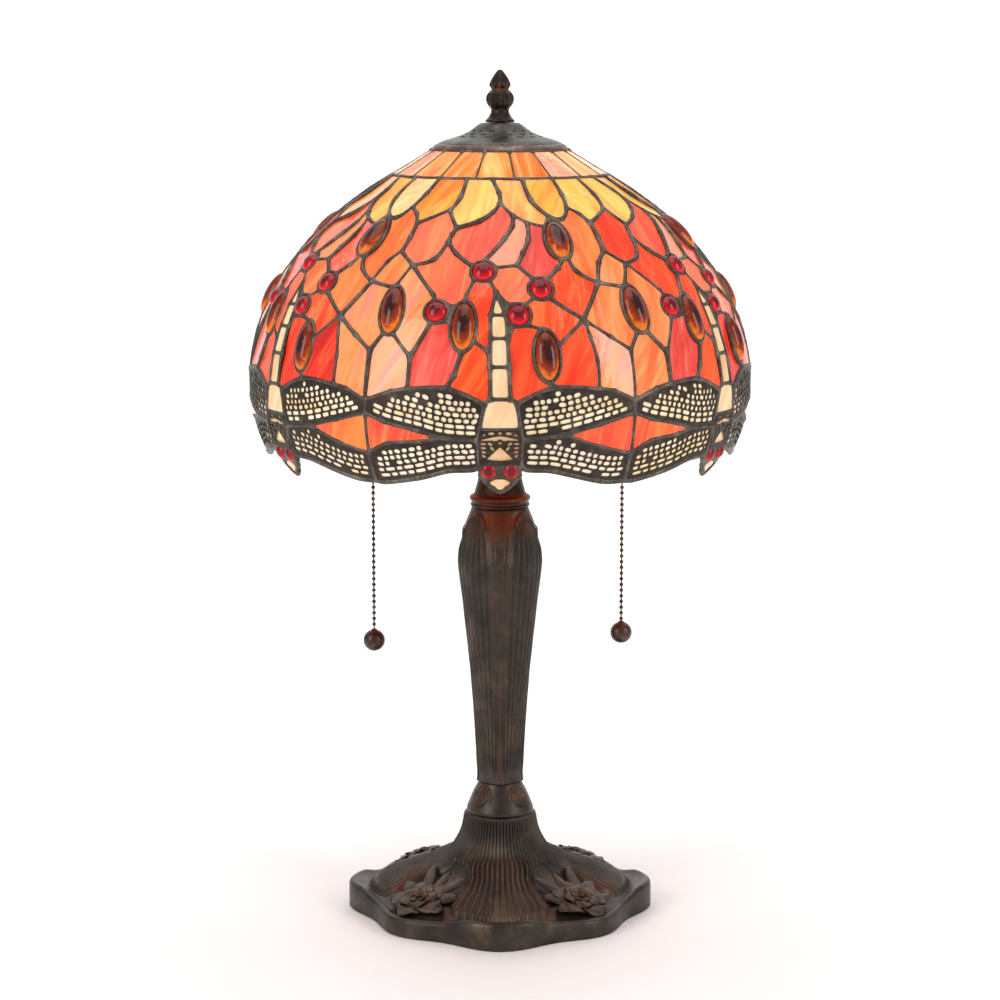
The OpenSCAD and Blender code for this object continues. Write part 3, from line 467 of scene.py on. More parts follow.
def pierced(outline, cells, spread=0.0):
    """Triangles that fill an outline between its openings, with points spread inside it.

    Returns the flat points and the triangles that lie in the outline and in no opening.
    """
    loops = [outline] + cells
    starts = np.cumsum([0] + [len(l) for l in loops])
    points = np.concatenate(loops)
    loop_ids = [list(range(a, b)) for a, b in zip(starts[:-1], starts[1:])]
    if spread:
        low, high = outline.min(0), outline.max(0)
        gx, gy = np.meshgrid(np.arange(low[0] + spread / 2, high[0], spread),
                             np.arange(low[1] + spread / 2, high[1], spread))
        points = np.concatenate([points, np.stack([gx.ravel(), gy.ravel()], 1)])
    out = delaunay_2d_cdt([Vector(p) for p in points], [], loop_ids, 1, 1e-5)
    flat = np.array([list(p) for p in out[0]])
    keep = [f for f, source in zip(out[2], out[5]) if list(source) == [0]]
    used, places = np.unique(np.array(keep), return_inverse=True)
    return flat[used], places.reshape(-1, 3)


def slab(flat, triangles, lift):
    """A sheet with two faces and walls at its free edges; lift(flat, side) places its points."""
    n = len(flat)
    edges = np.concatenate([triangles[:, [0, 1]], triangles[:, [1, 2]], triangles[:, [2, 0]]])
    key = edges.min(1).astype(np.int64) * n + edges.max(1)
    _, first, times = np.unique(key, return_index=True, return_counts=True)
    free = edges[first[times == 1]]
    walls = np.stack([free[:, 0], free[:, 0] + n, free[:, 1] + n, free[:, 1]], 1)
    points = np.concatenate([lift(flat, 1), lift(flat, 0)])
    return points, triangles.tolist() + (triangles[:, ::-1] + n).tolist() + walls.tolist()


INSET = 0.35
CHAMFER = 0.3
DEEPEST = 1.1
PROUD_LIMIT = 1.3


def bent_plate(outline, thickness):
    """A plate that follows the shade, for pieces too wide to lie flat; returns as flat_plate."""
    z = outline[:, 1].mean()
    scale = np.array([dome_r(z) * np.pi / 180, 1 / lean(z)])
    flat, triangles = pierced(drawn_in(outline * scale, INSET), [], spread=5.0)
    points, faces = slab(flat, triangles,
                         lambda q, side: on_shade(q / scale, thickness * (side - 0.5)))
    return points, faces, np.tile(flat, (2, 1))


def flat_plate(outline, thickness, inset=INSET):
    """A flat plate on the plane that fits an outline best, with two chamfered faces.

    A plate that would stand proud is let in by three quarters of that, up to DEEPEST.
    Returns its points, its faces, and each point's (across, up) place in the plate.
    """
    centre, x, y, normal = best_plane(outline)
    P = on_shade(outline)
    Q = np.stack([(P - centre) @ x, (P - centre) @ y], 1)
    centre = centre - normal * min(DEEPEST, 0.75 * proud(outline))
    rings = [(drawn_in(Q, inset + c), h) for c, h in
             ((CHAMFER, -thickness / 2), (0, CHAMFER - thickness / 2), (0, thickness / 2 - CHAMFER),
              (CHAMFER, thickness / 2))]
    n = len(Q)
    points = np.concatenate([centre + q[:, :1] * x + q[:, 1:] * y + h * normal for q, h in rings])
    faces = grid_faces(len(rings), n, wrap=True).tolist()
    faces += [list(range(n))[::-1], list(range((len(rings) - 1) * n, len(rings) * n))]
    return points, faces, np.concatenate([q for q, _ in rings])


# ---------------------------------------------------------------- materials

def srgb(code):
    """A linear colour from a six-letter web colour."""
    v = np.array([int(code[i:i + 2], 16) for i in (0, 2, 4)]) / 255
    return tuple(np.where(v <= 0.04045, v / 12.92, ((v + 0.055) / 1.055) ** 2.4)) + (1.0,)


class Finish:
    """A material being built: short calls that add nodes and join them."""

    def __init__(self, name):
        """A new material with its one Principled shader."""
        self.material = bpy.data.materials.new(name)
        self.material.use_nodes = True
        self.tree = self.material.node_tree
        self.shader = self.tree.nodes["Principled BSDF"]

    def node(self, kind, inputs=None, **settings):
        """A new node with its settings and what goes into its sockets."""
        n = self.tree.nodes.new("ShaderNode" + kind)
        for key, value in settings.items():
            setattr(n, key, value)
        for key, value in (inputs or {}).items():
            self.put(n.inputs[key], value)
        return n

    def put(self, socket, value):
        """A link into a socket, or a constant set on it."""
        if isinstance(value, bpy.types.NodeSocket):
            self.tree.links.new(value, socket)
        else:
            socket.default_value = value

    def set(self, **values):
        """Values of the shader's own sockets."""
        for key, value in values.items():
            self.put(self.shader.inputs[key.replace("_", " ")], value)

    def place(self):
        """The place on the object."""
        return self.node("TexCoord").outputs["Object"]

    def flow(self):
        """The UV map that runs along each piece of glass."""
        return self.node("UVMap", uv_map="flow").outputs["UV"]

    def value(self, name):
        """An attribute stored on the points."""
        return self.node("Attribute", attribute_name=name).outputs["Fac"]

    def stretched(self, vector, scale):
        """A place drawn out by a scale along each axis."""
        return self.node("Mapping", {"Vector": vector, "Scale": scale}).outputs["Vector"]

    def noise(self, vector, scale, detail=3.0, rough=0.5, warp=0.0):
        """Fractal noise from 0 to 1."""
        return self.node("TexNoise", {"Vector": vector, "Scale": scale, "Detail": detail,
                                      "Roughness": rough, "Distortion": warp}).outputs["Fac"]

    def ramp(self, factor, *stops):
        """A colour or grey between (position, colour) stops."""
        n = self.node("ValToRGB", {"Fac": factor})
        ramp = n.color_ramp
        while len(ramp.elements) < len(stops):
            ramp.elements.new(0.5)
        for element, (position, colour) in zip(ramp.elements, stops):
            element.position = position
            element.color = colour if isinstance(colour, tuple) else (colour,) * 3 + (1.0,)
        return n.outputs["Color"]

    def mix(self, factor, a, b, how="MIX"):
        """Two colours blended by a factor."""
        n = self.node("Mix", data_type="RGBA", blend_type=how)
        self.put(n.inputs[0], factor)
        self.put(n.inputs[6], a)
        self.put(n.inputs[7], b)
        return n.outputs[2]

    def math(self, how, a, b=0.0, limit=False):
        """Arithmetic on two numbers, held to 0..1 if limit."""
        return self.node("Math", {0: a, 1: b}, operation=how, use_clamp=limit).outputs[0]

    def bump(self, height, distance, strength=1.0):
        """Fine relief on the shader's normal."""
        self.set(Normal=self.node("Bump", {"Height": height, "Distance": distance,
                                           "Strength": strength}).outputs["Normal"])


STREAK = (95.0, 16.0, 1.0)
FINE_STREAK = (STREAK[0] * 2.6, STREAK[1] * 1.5, 1)


def streaky_glass(name, codes, lit=0.34):
    """Art glass lit from behind: long streaks along the flow map between a few colours.

    A broad noise drawn out along the piece picks the colour, each piece's own tone shifts it,
    a second, finer one lays in pale wisps of the last colour, and a slow ripple bends the gloss.
    """
    f = Finish(name)
    *colours, wisp = (srgb(code) for code in codes.split())
    flow, at = f.flow(), f.place()
    wide = f.noise(f.stretched(flow, STREAK), 1.0, 3.0, 0.55, 0.6)
    shifted = f.math("ADD", wide, f.math("MULTIPLY", f.math("SUBTRACT", f.value("tone"), 0.5), 0.34))
    count = len(colours)
    base = f.ramp(shifted, *[(0.3 + 0.4 * k / (count - 1), c) for k, c in enumerate(colours)])
    fine = f.noise(f.stretched(flow, FINE_STREAK), 1.0, 4.0, 0.6, 0.9)
    veil = f.math("MULTIPLY", f.ramp(fine, (0.5, 0.0), (0.74, 1.0)), 0.5)
    colour = f.mix(veil, base, wisp)
    cloud = f.ramp(f.noise(at, 28.0, 2.0, 0.5), (0.25, 0.84), (0.75, 1.06))
    colour = f.mix(1.0, colour, cloud, "MULTIPLY")
    f.set(Base_Color=colour, Emission_Color=colour, Emission_Strength=lit, Roughness=0.12, IOR=1.5)
    ripple = f.noise(at, 120.0, 2.0, 0.5, 0.4)
    f.bump(ripple, 0.0006, 0.35)
    return f.material


def solder_finish():
    """Patinated solder: grey-brown, brighter where it swells, with small pits and waves."""
    f = Finish("solder")
    at = f.place()
    patch = f.noise(at, 90.0, 4.0, 0.6, 0.5)
    grain = f.noise(at, 900.0, 3.0, 0.6)
    colour = f.ramp(patch, (0.3, srgb("2A221D")), (0.5, srgb("483F37")), (0.72, srgb("8C8276")))
    f.set(Base_Color=f.mix(0.35, colour, f.ramp(grain, (0.3, srgb("1E1A17")), (0.7, srgb("8C857A")))),
          Metallic=0.75, Roughness=f.ramp(grain, (0.2, 0.3), (0.8, 0.52)))
    f.bump(f.math("ADD", grain, f.math("MULTIPLY", patch, 2.0)), 0.00025, 0.55)
    return f.material


def pierced_sheet_finish():
    """Dark painted brass sheet with a soft sheen."""
    f = Finish("pierced_sheet")
    at = f.place()
    patch = f.noise(at, 160.0, 4.0, 0.6)
    f.set(Base_Color=f.ramp(patch, (0.3, srgb("2A201A")), (0.55, srgb("3E322B")), (0.8, srgb("66594E"))),
          Metallic=0.6, Roughness=f.ramp(patch, (0.2, 0.35), (0.8, 0.6)))
    f.bump(f.noise(at, 1400.0, 2.0), 0.0001, 0.5)
    return f.material


def jewel_glass(name, deep, body, rim, lit):
    """Clear cast glass: deep in the middle, glowing towards its edge and its lower side.

    The edge attribute runs from 0 in the middle to about 1 at the rim, more on its lower side.
    """
    f = Finish(name)
    edge = f.value("edge")
    swirl = f.noise(f.place(), 210.0, 2.0, 0.5, 1.2)
    reach = f.math("ADD", edge, f.math("MULTIPLY", f.math("SUBTRACT", swirl, 0.5), 0.5))
    colour = f.ramp(reach, (0.25, deep), (0.74, body), (1.0, rim))
    f.set(Base_Color=colour, Emission_Color=colour, Emission_Strength=lit, Roughness=0.05, IOR=1.42)
    return f.material


def metal(name, dark, mid, light, patina=None, metallic=0.9, rough=(0.25, 0.5), scale=60.0,
          depth=0.0002):
    """Cast or spun metal: patches of tone, worn grain, and the patina colour where the attribute asks,
    which stands for patina in hollows and for painted warm lamp light on some tops and edges.
    """
    f = Finish(name)
    at = f.place()
    patch = f.noise(at, scale, 4.0, 0.6, 0.4)
    fine = f.noise(at, 700.0, 3.0, 0.6)
    colour = f.ramp(patch, (0.3, dark), (0.52, mid), (0.76, light))
    # The patina amount mixes in the patina colour: real patina in hollows, and painted warm lamp light
    # where the castings set it on tops and edges.
    if patina is not None:
        amount = f.math("MULTIPLY", f.value("patina"), f.ramp(patch, (0.25, 0.55), (0.6, 1.0)), True)
        colour = f.mix(amount, colour, patina)
    f.set(Base_Color=colour, Metallic=metallic,
          Roughness=f.ramp(fine, (0.2, rough[0]), (0.8, rough[1])))
    f.bump(fine, depth, 0.5)
    return f.material


def plain_matter(name, dark, light, scale, rough, depth, lit=0.0):
    """Felt, porcelain, plastic or frosted glass: two close tones of one noise, and its bump."""
    f = Finish(name)
    patch = f.noise(f.place(), scale, 4.0, 0.65)
    colour = f.ramp(patch, (0.3, dark), (0.7, light))
    f.set(Base_Color=colour, Roughness=rough)
    if lit:
        f.set(Emission_Color=colour, Emission_Strength=lit)
    f.bump(patch, depth, 0.5)
    return f.material


# Each kind of glass: its slot, the nodes that it stands for, and its colours from deep to pale.
GLASS = dict(
    band=("amber_glass", ["band_glass"], "F05A1C F47E2A F79A44 FAB468 FFD8A0"),
    golden=("golden_glass", ["petal_glass"], "F0701E F48C2A F7A236 FAB848 FFD484"),
    scarlet=("scarlet_glass", ["scarlet_glass"], "DE3210 EE4216 F4521A F8662A FB8E52"),
    ruby=("ruby_glass", ["ruby_glass"], "C81A10 DE2A16 EC3E1A F25026 F67A4A"),
    tangerine=("tangerine_glass", ["tangerine_glass"], "E43C18 EE5222 F4682E F6803E FAA674"),
    salmon=("salmon_glass", ["salmon_glass"], "E96430 F17E42 F49254 F08468 FBB488"),
    rose=("rose_glass", ["rose_glass"], "DC3A2E E84C40 EC6052 EE7466 F69684"),
    border=("border_glass", ["border_glass"], "E0381A EE4A1E F46024 F67A2C FA964A"),
    cream=("cream_glass", ["tail_glass", "head_glass"], "DEA870 E8BA88 EFC89C ECC096 F6DCB8"),
)
WING_GLASS = streaky_glass("wing_glass", "F2D2A0 F7E0B8 FBEACC F4D6C2 FFF6E2", lit=0.42)
SOLDER = solder_finish()
SHEET = pierced_sheet_finish()


# ---------------------------------------------------------------- glass

BAND_PANES = 18
BAND_PHASE = -2.5
chance = np.random.default_rng(7)


def glass_pieces(name, finish, outlines, directions):
    """All plates of one finish as one piece, each with its own tone and direction of flow.

    A plate is flat where it can be, and follows the shade where a flat one would stand proud.
    """
    shapes, tones, flows = [], [], []
    for outline, direction in zip(outlines, directions):
        plate = bent_plate if proud(outline) > PROUD_LIMIT else flat_plate
        points, faces, flat = plate(outline, GLASS_T)
        shapes.append((points, faces))
        tone, shift = chance.random(), chance.random(2) * 3
        a = math.radians(direction)
        along = flat @ np.array([math.cos(a), math.sin(a)])
        across = flat @ np.array([-math.sin(a), math.cos(a)])
        flows.append(np.stack([across * MM + shift[0], along * MM + shift[1]], 1))
        tones.append(np.full(len(points), tone))
    points, faces = joined(shapes)
    mesh = new_mesh(name, points, faces, smooth=False)
    set_values(mesh, "tone", np.concatenate(tones))
    set_flow(mesh, np.concatenate(flows))
    slot, nodes, colours = GLASS[finish]
    piece(name, mesh, streaky_glass(finish + "_glass", colours), "shade", slot, nodes)


def around(outline, turn):
    """A (degrees, height) outline in the sector turn steps on."""
    return outline + [turn * SECTOR, 0]


for finish, pieces in PANES.items():
    outlines = [pane_outline(p) for p in pieces]
    leans = [72 + 40 * (chance.random() - 0.5) for _ in outlines]
    glass_pieces(finish + "_pieces", finish,
                 [around(o, s) for s in range(SECTORS) for o in outlines], leans * SECTORS)

half = 180 / BAND_PANES
band_outlines = [np.array([[a - half, BAND_Z], [a + half, BAND_Z], [a + half, RING_Z - 0.2],
                           [a - half, RING_Z - 0.2]])
                 for a in BAND_PHASE + np.arange(BAND_PANES) * 2 * half]
glass_pieces("band_pieces", "band", band_outlines, [90 + 30 * (chance.random() - 0.5)
                                                    for _ in band_outlines])


def jewel_dome(centre, half_w, half_h, tilt, crown):
    """A cabochon: an oval whose height over it falls as the root of one minus radius squared.

    Returns its points, its faces and each point's edge value.
    """
    rings, turns, back = 10, 32, 1.5
    u = np.linspace(0, 1, rings)[:, None]
    v = np.linspace(0, 2 * np.pi, turns, endpoint=False)[None, :]
    rho = np.sin(u * np.pi / 2)
    x, y = half_w * rho * np.cos(v), half_h * rho * np.sin(v)
    h = crown * np.sqrt(np.clip(1 - rho ** 2, 0, 1)) + 0 * v
    rim = np.stack([x[-1], y[-1], np.full(turns, -back)], 1)
    flat = np.concatenate([np.stack([x, y, h], -1).reshape(-1, 3), rim, [[0, 0, -back]]])
    t = math.radians(tilt)
    flat[:, :2] = flat[:, :2] @ np.array([[math.cos(t), math.sin(t)], [-math.sin(t), math.cos(t)]])
    base, normal = on_shade(centre)[0], shade_normal(centre)[0]
    across = np.cross([0, 0, 1], normal)
    across /= np.linalg.norm(across)
    points = base + flat @ np.stack([across, np.cross(normal, across), normal])
    faces = grid_faces(rings + 1, turns, wrap=True)[:, ::-1].tolist()
    last, k = rings * turns, np.arange(turns)
    faces += np.stack([last + k, np.full(turns, last + turns), last + (k + 1) % turns], 1).tolist()
    glow = rho * (0.82 - 0.26 * np.sin(v))
    edge = np.concatenate([glow.ravel(), np.ones(turns + 1)])
    return points, faces, edge


def jewel_piece(name, material, slot, node, jewels):
    """Cabochons of one kind, all round the shade."""
    shapes = [jewel_dome(*j) for j in jewels]
    mesh = new_mesh(name, *joined([s[:2] for s in shapes]))
    set_values(mesh, "edge", np.concatenate([s[2] for s in shapes]))
    piece(name, mesh, material, "shade", slot, [node])


EYE_ANGLE, EYE_Z, EYE_R = 2.5, 299.9, 4.8
RUBY = jewel_glass("ruby_jewel", srgb("5A020A"), srgb("B00414"), srgb("E41018"), 0.34)
AMBER = jewel_glass("amber_jewel", srgb("2E0A04"), srgb("8A2C08"), srgb("E07014"), 0.36)
spots = [(s, JEWELS[j]) for s in range(SECTORS) for j in JEWELS if j[0] == "C"]
jewel_piece("round_gems", RUBY, "ruby_jewel", "round_jewels",
            [((j[0] + s * SECTOR, j[1]), 6.2, 6.2, 0, 4.2) for s, j in spots])
spots = [(s, JEWELS[j]) for s in range(SECTORS) for j in JEWELS if j[0] == "O"]
jewel_piece("oval_gems", AMBER, "amber_jewel", "oval_jewels",
            [((j[0] + s * SECTOR, j[1]), 6.6, 13.9, j[4], 5.0) for s, j in spots])
jewel_piece("eye_gems", RUBY, "ruby_jewel", "eye_jewels",
            [((side * EYE_ANGLE + s * SECTOR, EYE_Z), EYE_R - 0.1, EYE_R - 0.1, 0, 3.6)
             for s in range(SECTORS) for side in (-1, 1)])


# ---------------------------------------------------------------- solder

def bead(curve, wide, high, closed=False):
    """A rounded bead of solder laid along a curve on the shade."""
    return sweep(on_shade(curve), wide, high, shade_normal(curve), sides=8, closed=closed)


def swell(count, ends, middle):
    """A width largest at both ends of a seam: the middle's, plus the rest times t to the fourth."""
    t = np.linspace(-1, 1, count)
    return middle + (ends - middle) * t ** 4


def sector_solder():
    """One sector's beads, its junctions' blobs, and a collar round each jewel."""
    shapes = []
    met = {}
    for a, b in SEAMS:
        curve = seam_curve(a, b, 9)
        shapes.append(bead(curve, swell(9, 2.05, 1.45), swell(9, 2.0, 1.8)))
        met[a], met[b] = b, a
    for name, other in met.items():
        spot = place(name)
        normal = shade_normal(spot)[0]
        across = np.cross([0, 0, 1], normal)
        across /= np.linalg.norm(across)
        r = 2.3 if along_at(name, other) is None else 1.4
        shapes.append(ball(on_shade(spot)[0], (r, r, 1.75),
                           [across, np.cross(normal, across), normal]))
    for jewel in JEWELS:
        ring = jewel_edge(jewel, np.arange(0, 360, 8.0), grow=0.1)
        shapes.append(bead(ring, 1.35, 1.85, closed=True))
    for side in (-1, 1):
        u = np.radians(np.arange(0, 360, 12.0))
        r = EYE_R + 0.4
        ring = np.stack([side * EYE_ANGLE + np.degrees(r / dome_r(EYE_Z) * np.cos(u)),
                         EYE_Z + r * np.sin(u) * lean(EYE_Z)], 1)
        shapes.append(bead(ring, 0.75, 1.9, closed=True))
    forehead = np.concatenate([seam_curve(a, b)[:-1] for a, b in
                               zip(FOREHEAD.split(), FOREHEAD.split()[1:] + ["b2l"])])
    shapes.append(flat_plate(forehead, 2.8, 0.2)[:2])
    return joined(shapes)


sector_mesh = fused("seams", *sector_solder())
count = len(sector_mesh.vertices)
sector_points = np.zeros(count * 3)
sector_mesh.vertices.foreach_get("co", sector_points)
sector_points = sector_points.reshape(-1, 3)
for s in range(SECTORS):
    mesh = sector_mesh.copy()
    mesh.name = "seams_%d" % (s + 1)
    mesh.vertices.foreach_set("co", turned(sector_points, s * SECTOR).ravel())
    mesh.update()
    piece("seams_%d" % (s + 1), mesh, SOLDER, "shade", "solder", ["foil_frames"] if s == 0 else [])

band_beads = []
for k in range(BAND_PANES):
    a = BAND_PHASE + (2 * k - 1) * half
    line = np.stack([np.full(9, a), np.linspace(BAND_Z, RING_Z, 9)], 1)
    band_beads.append(bead(line, swell(9, 1.5, 1.05), 1.6))
level = np.stack([np.arange(0, 360, 2.5), np.full(144, BAND_Z)], 1)
band_beads.append(bead(level, 1.35, 1.7, closed=True))
piece("band_seams", fused("band_seams", *joined(band_beads)), SOLDER, "shade", "solder")


# ---------------------------------------------------------------- dragonfly wings and bodies

WING_R = 152.0
PER_DEGREE = WING_R * np.pi / 180


def oval(centre, half_w, half_h, tilt=0.0, square=2.4):
    """A rounded cell: |x/w| and |y/h| to the power square add up to one."""
    v = np.linspace(0, 2 * np.pi, 10, endpoint=False) + 0.3
    x = half_w * np.sign(np.cos(v)) * np.abs(np.cos(v)) ** (2 / square)
    y = half_h * np.sign(np.sin(v)) * np.abs(np.sin(v)) ** (2 / square)
    c, s = math.cos(tilt), math.sin(tilt)
    return np.stack([centre[0] + x * c - y * s, centre[1] + x * s + y * c], 1)


def span_at(outline, x):
    """Lowest and highest height of an outline where it crosses each x."""
    a, b = outline, np.roll(outline, -1, 0)
    low, high = np.minimum(a[:, 0], b[:, 0]), np.maximum(a[:, 0], b[:, 0])
    crosses = (x[:, None] >= low) & (x[:, None] < high)
    t = (x[:, None] - a[:, 0]) / np.where(np.abs(b[:, 0] - a[:, 0]) < 1e-9, 1, b[:, 0] - a[:, 0])
    y = a[:, 1] + t * (b[:, 1] - a[:, 1])
    return (np.where(crosses, y, np.inf).min(1), np.where(crosses, y, -np.inf).max(1))


def wing_cells(outline):
    """Rounded openings in rows that follow a wing's lower edge, one row above the other.

    The two lowest rows are long bricks and those above shorter ovals, some of them tipped. A row
    ends where there is no more room for it under the wing's upper edge.
    """
    margin, pitch, rib = 2.4, 3.3, 0.37
    left, right = outline[:, 0].min() + 3.2, outline[:, 0].max() - 2.6
    grid = np.linspace(left - 1, right + 1, 160)
    low, high = span_at(outline, grid)
    fair = np.isfinite(low) & np.isfinite(high)
    grid, low, high = grid[fair], low[fair], high[fair]
    rows = int((high - low).max() / pitch)
    cells = []
    for k in range(rows):
        brick = k < 2
        x = left + chance.uniform(0, 2.0)
        while x < right - 2.0:
            length = chance.uniform(4.8, 7.6) if brick else chance.uniform(3.3, 5.3)
            length = min(length, right - x)
            mid = x + length / 2
            x += length
            spread = np.linspace(mid - length / 2, mid + length / 2, 5)
            sill, roof = np.interp(spread, grid, low), np.interp(spread, grid, high)
            y = sill[2] + margin + (k + 0.5) * pitch
            if y + pitch / 2 > roof.min() - 1.5 or chance.random() < 0.04 or length < 2.4:
                continue
            slope = math.atan2(sill[4] - sill[0], length)
            if brick:
                cells.append(oval((mid, y), length / 2 - rib, pitch / 2 - rib - 0.12, slope, 4.0))
            elif length < 4.1:
                cells.append(oval((mid, y), length / 2 - rib, pitch / 2 - rib + 0.1,
                                  slope + chance.uniform(-0.2, 0.2), 2.4))
            else:
                cells.append(oval((mid, y), length / 2 - rib, pitch / 2 - rib,
                                  slope + chance.uniform(-0.25, 0.12), 2.3))
    return cells


def body_cells():
    """The openings over the body: an arch, a triangle below it, and small cells either side."""
    cells = [np.array([[-7.6, -8.2], [-3.6, -8.8], [0, -9.0], [3.6, -8.8], [7.6, -8.2], [0.4, -1.0],
                       [-0.4, -1.0]]),
             np.array([[-10.4, 2.9], [-4.6, 3.1], [-2.4, 2.7], [0, 3.9], [2.4, 2.7], [4.6, 3.1],
                       [10.4, 2.9], [10.2, 3.9], [5.0, 5.0], [0, 5.9], [-5.0, 5.0], [-10.2, 3.9]]),
             oval((0, 1.5), 0.95, 0.75), oval((0, 7.5), 1.0, 0.95)]
    for side in (-1, 1):
        cells += [oval((side * 9.4, y), 1.5, 0.8, side * slant, 3.0)
                  for y, slant in ((1.1, 0.0), (-1.4, 0.05), (-3.9, 0.15), (-6.2, 0.35))]
        cells += [oval((side * 5.6, 1.0), 1.5, 0.85, side * 0.6),
                  oval((side * 4.4, -1.8), 1.6, 0.85, side * 0.95),
                  oval((side * 4.9, 7.3), 1.75, 1.0, side * -0.05),
                  oval((side * 8.9, 6.3), 0.9, 0.75, side * -0.5)]
    return cells


def on_skirt(low, high):
    """Places flat wing points on the shade, between two distances out from its surface."""
    def lift(flat, side):
        """The flat points on the outer face for side 1, and on the inner one for side 0."""
        return on_shade(np.stack([flat[:, 0] / PER_DEGREE, flat[:, 1]], 1), high if side else low)
    return lift


WING_OUTLINES = [pane_outline(w) * [PER_DEGREE, 1] for w in WINGS]


def turned_copies(shape):
    """A shape and its copies in the other sectors."""
    points, faces = shape
    return [(turned(points, s * SECTOR), faces) for s in range(SECTORS)]


glass_shapes, sheet_shapes, wing_flow, wing_tone = [], [], [], []
for outline in WING_OUTLINES:
    flat, triangles = pierced(drawn_in(outline, 0.5), [], spread=4.0)
    shape = slab(flat, triangles, on_skirt(-1.5, 0.25))
    for s, copy in enumerate(turned_copies(shape)):
        glass_shapes.append(copy)
        wing_flow.append(np.tile(flat[:, ::-1] * MM, (2, 1)) + chance.random(2))
        wing_tone.append(np.full(2 * len(flat), chance.random()))
    flat, triangles = pierced(drawn_in(outline, 0.45), wing_cells(outline))
    sheet_shapes += turned_copies(slab(flat, triangles, on_skirt(0.3, 1.05)))
mesh = new_mesh("wing_pieces", *joined(glass_shapes), smooth=False)
set_flow(mesh, np.concatenate(wing_flow))
set_values(mesh, "tone", np.concatenate(wing_tone))
piece("wing_pieces", mesh, WING_GLASS, "shade", "wing_cream_glass", ["wing_glass"])
piece("wing_sheet", new_mesh("wing_sheet", *joined(sheet_shapes), smooth=False), SHEET, "shade",
      "filigree_metal", ["wing_filigree"])


def body_sheet():
    """The pierced plate over a body, flat on the plane of the glass behind it."""
    edge = pane_outline(PANES["cream"][5])
    centre, x, y, normal = best_plane(edge)
    P = on_shade(edge)
    outline = drawn_in(np.stack([(P - centre) @ x, (P - centre) @ y], 1), 0.3)
    flat, triangles = pierced(outline, body_cells())

    def lift(q, side):
        """The flat points on the front for side 1, and on the back for side 0."""
        return centre + q[:, :1] * x + q[:, 1:] * y + (2.0 if side else 1.25) * normal
    return slab(flat, triangles, lift)


piece("body_sheet", new_mesh("body_sheet", *joined(turned_copies(body_sheet())), smooth=False), SHEET,
      "shade", "filigree_metal", ["body_filigree"])


def rim():
    """The round wire under the scalloped lower edge, following wings and heads."""
    route = "w10 w11 w12 w13 w14 b2l h1l k1 h2l chin h2r k3 h1r b2r x14 x13 x11 +w10".split()
    one = np.concatenate([seam_curve(a, b, 6)[:-1] for a, b in zip(route, route[1:])])
    path = on_shade(np.concatenate([around(one, s) for s in range(SECTORS)])) - [0, 0, 1.0]
    return sweep(path, 1.15, 1.15, path * [1, 1, 0], sides=10, closed=True)


piece("rim_bead", new_mesh("rim_bead", *rim()), SOLDER, "shade", "solder", ["rim_wire"])


# ---------------------------------------------------------------- bronze castings

# One warm brown serves both as patina in hollows and as painted warm lamp light on tops and edges.
PATINA_AND_LAMP_GLOW = srgb("905228")
BRONZE = metal("bronze_casting", srgb("2E2A27"), srgb("433C36"), srgb("625546"), PATINA_AND_LAMP_GLOW,
               metallic=0.8, rough=(0.3, 0.5), scale=45.0)
TRIM = metal("bronze_trim", srgb("1E1916"), srgb("352B26"), srgb("5C4C40"), PATINA_AND_LAMP_GLOW, metallic=0.85,
             rough=(0.26, 0.46), scale=90.0)
BALL = metal("pull_ball_bronze", srgb("3A2C27"), srgb("56433B"), srgb("80675A"), PATINA_AND_LAMP_GLOW,
             metallic=0.85, rough=(0.3, 0.45), scale=110.0)
RING_METAL = metal("shade_ring_metal", srgb("4A3A36"), srgb("6E5852"), srgb("97827A"),
                   metallic=0.8, rough=(0.3, 0.5), scale=140.0)


def bulges(phase):
    """Rounded ribs with creased valleys between them, 0 in a valley and 1 on a crest."""
    f = phase - np.floor(phase)
    return 1 - (2 * f - 1) ** 2


def fourfold(degrees):
    """An angle folded into the nearest quarter, from -45 to 45 about its main direction."""
    return (np.asarray(degrees) + 45) % 90 - 45


def squared(degrees, power):
    """A factor on the radius that draws a circle in towards a square with corners at 0, 90..."""
    a = np.radians(degrees)
    return (np.abs(np.cos(a)) ** power + np.abs(np.sin(a)) ** power) ** (-1 / power)


def cast_piece(name, radius, height, patina, body, slot, nodes, material, angles=None):
    """A casting from grids of radius, height and patina amount over (row along the profile, angle); the
    amount also carries painted warm lamp light.

    angles gives each point's own angle in degrees where the columns aren't evenly spaced.
    """
    rows, turns = radius.shape
    a = np.linspace(0, 2 * np.pi, turns, endpoint=False) if angles is None else np.radians(angles)
    points = np.stack([radius * np.sin(a), -radius * np.cos(a), height], -1).reshape(-1, 3)
    faces = grid_faces(rows, turns, wrap=True)
    k = np.arange(turns)
    last = (rows - 1) * turns
    faces = np.concatenate([faces, np.stack([last + k, last + (k + 1) % turns, (k + 1) % turns, k],
                                            1)])
    mesh = new_mesh(name, points, faces[:, ::-1])
    set_values(mesh, "patina", np.broadcast_to(patina, radius.shape).ravel())
    return piece(name, mesh, material, body, slot, nodes)


def with_ends(profile, before, after):
    """Rows of the relief surface with plain rows of (radius, height) put before and after."""
    radius, height, patina = profile
    turns = radius.shape[1]

    def plain(rows):
        """The radius and height of each row, the same all the way round."""
        rows = np.array(rows, float)
        return [np.repeat(rows[:, k:k + 1], turns, 1) for k in (0, 1)]
    (rb, zb), (ra, za) = plain(before), plain(after)
    return (np.concatenate([rb, radius, ra]), np.concatenate([zb, height, za]),
            np.concatenate([rb * 0, patina, ra * 0]))


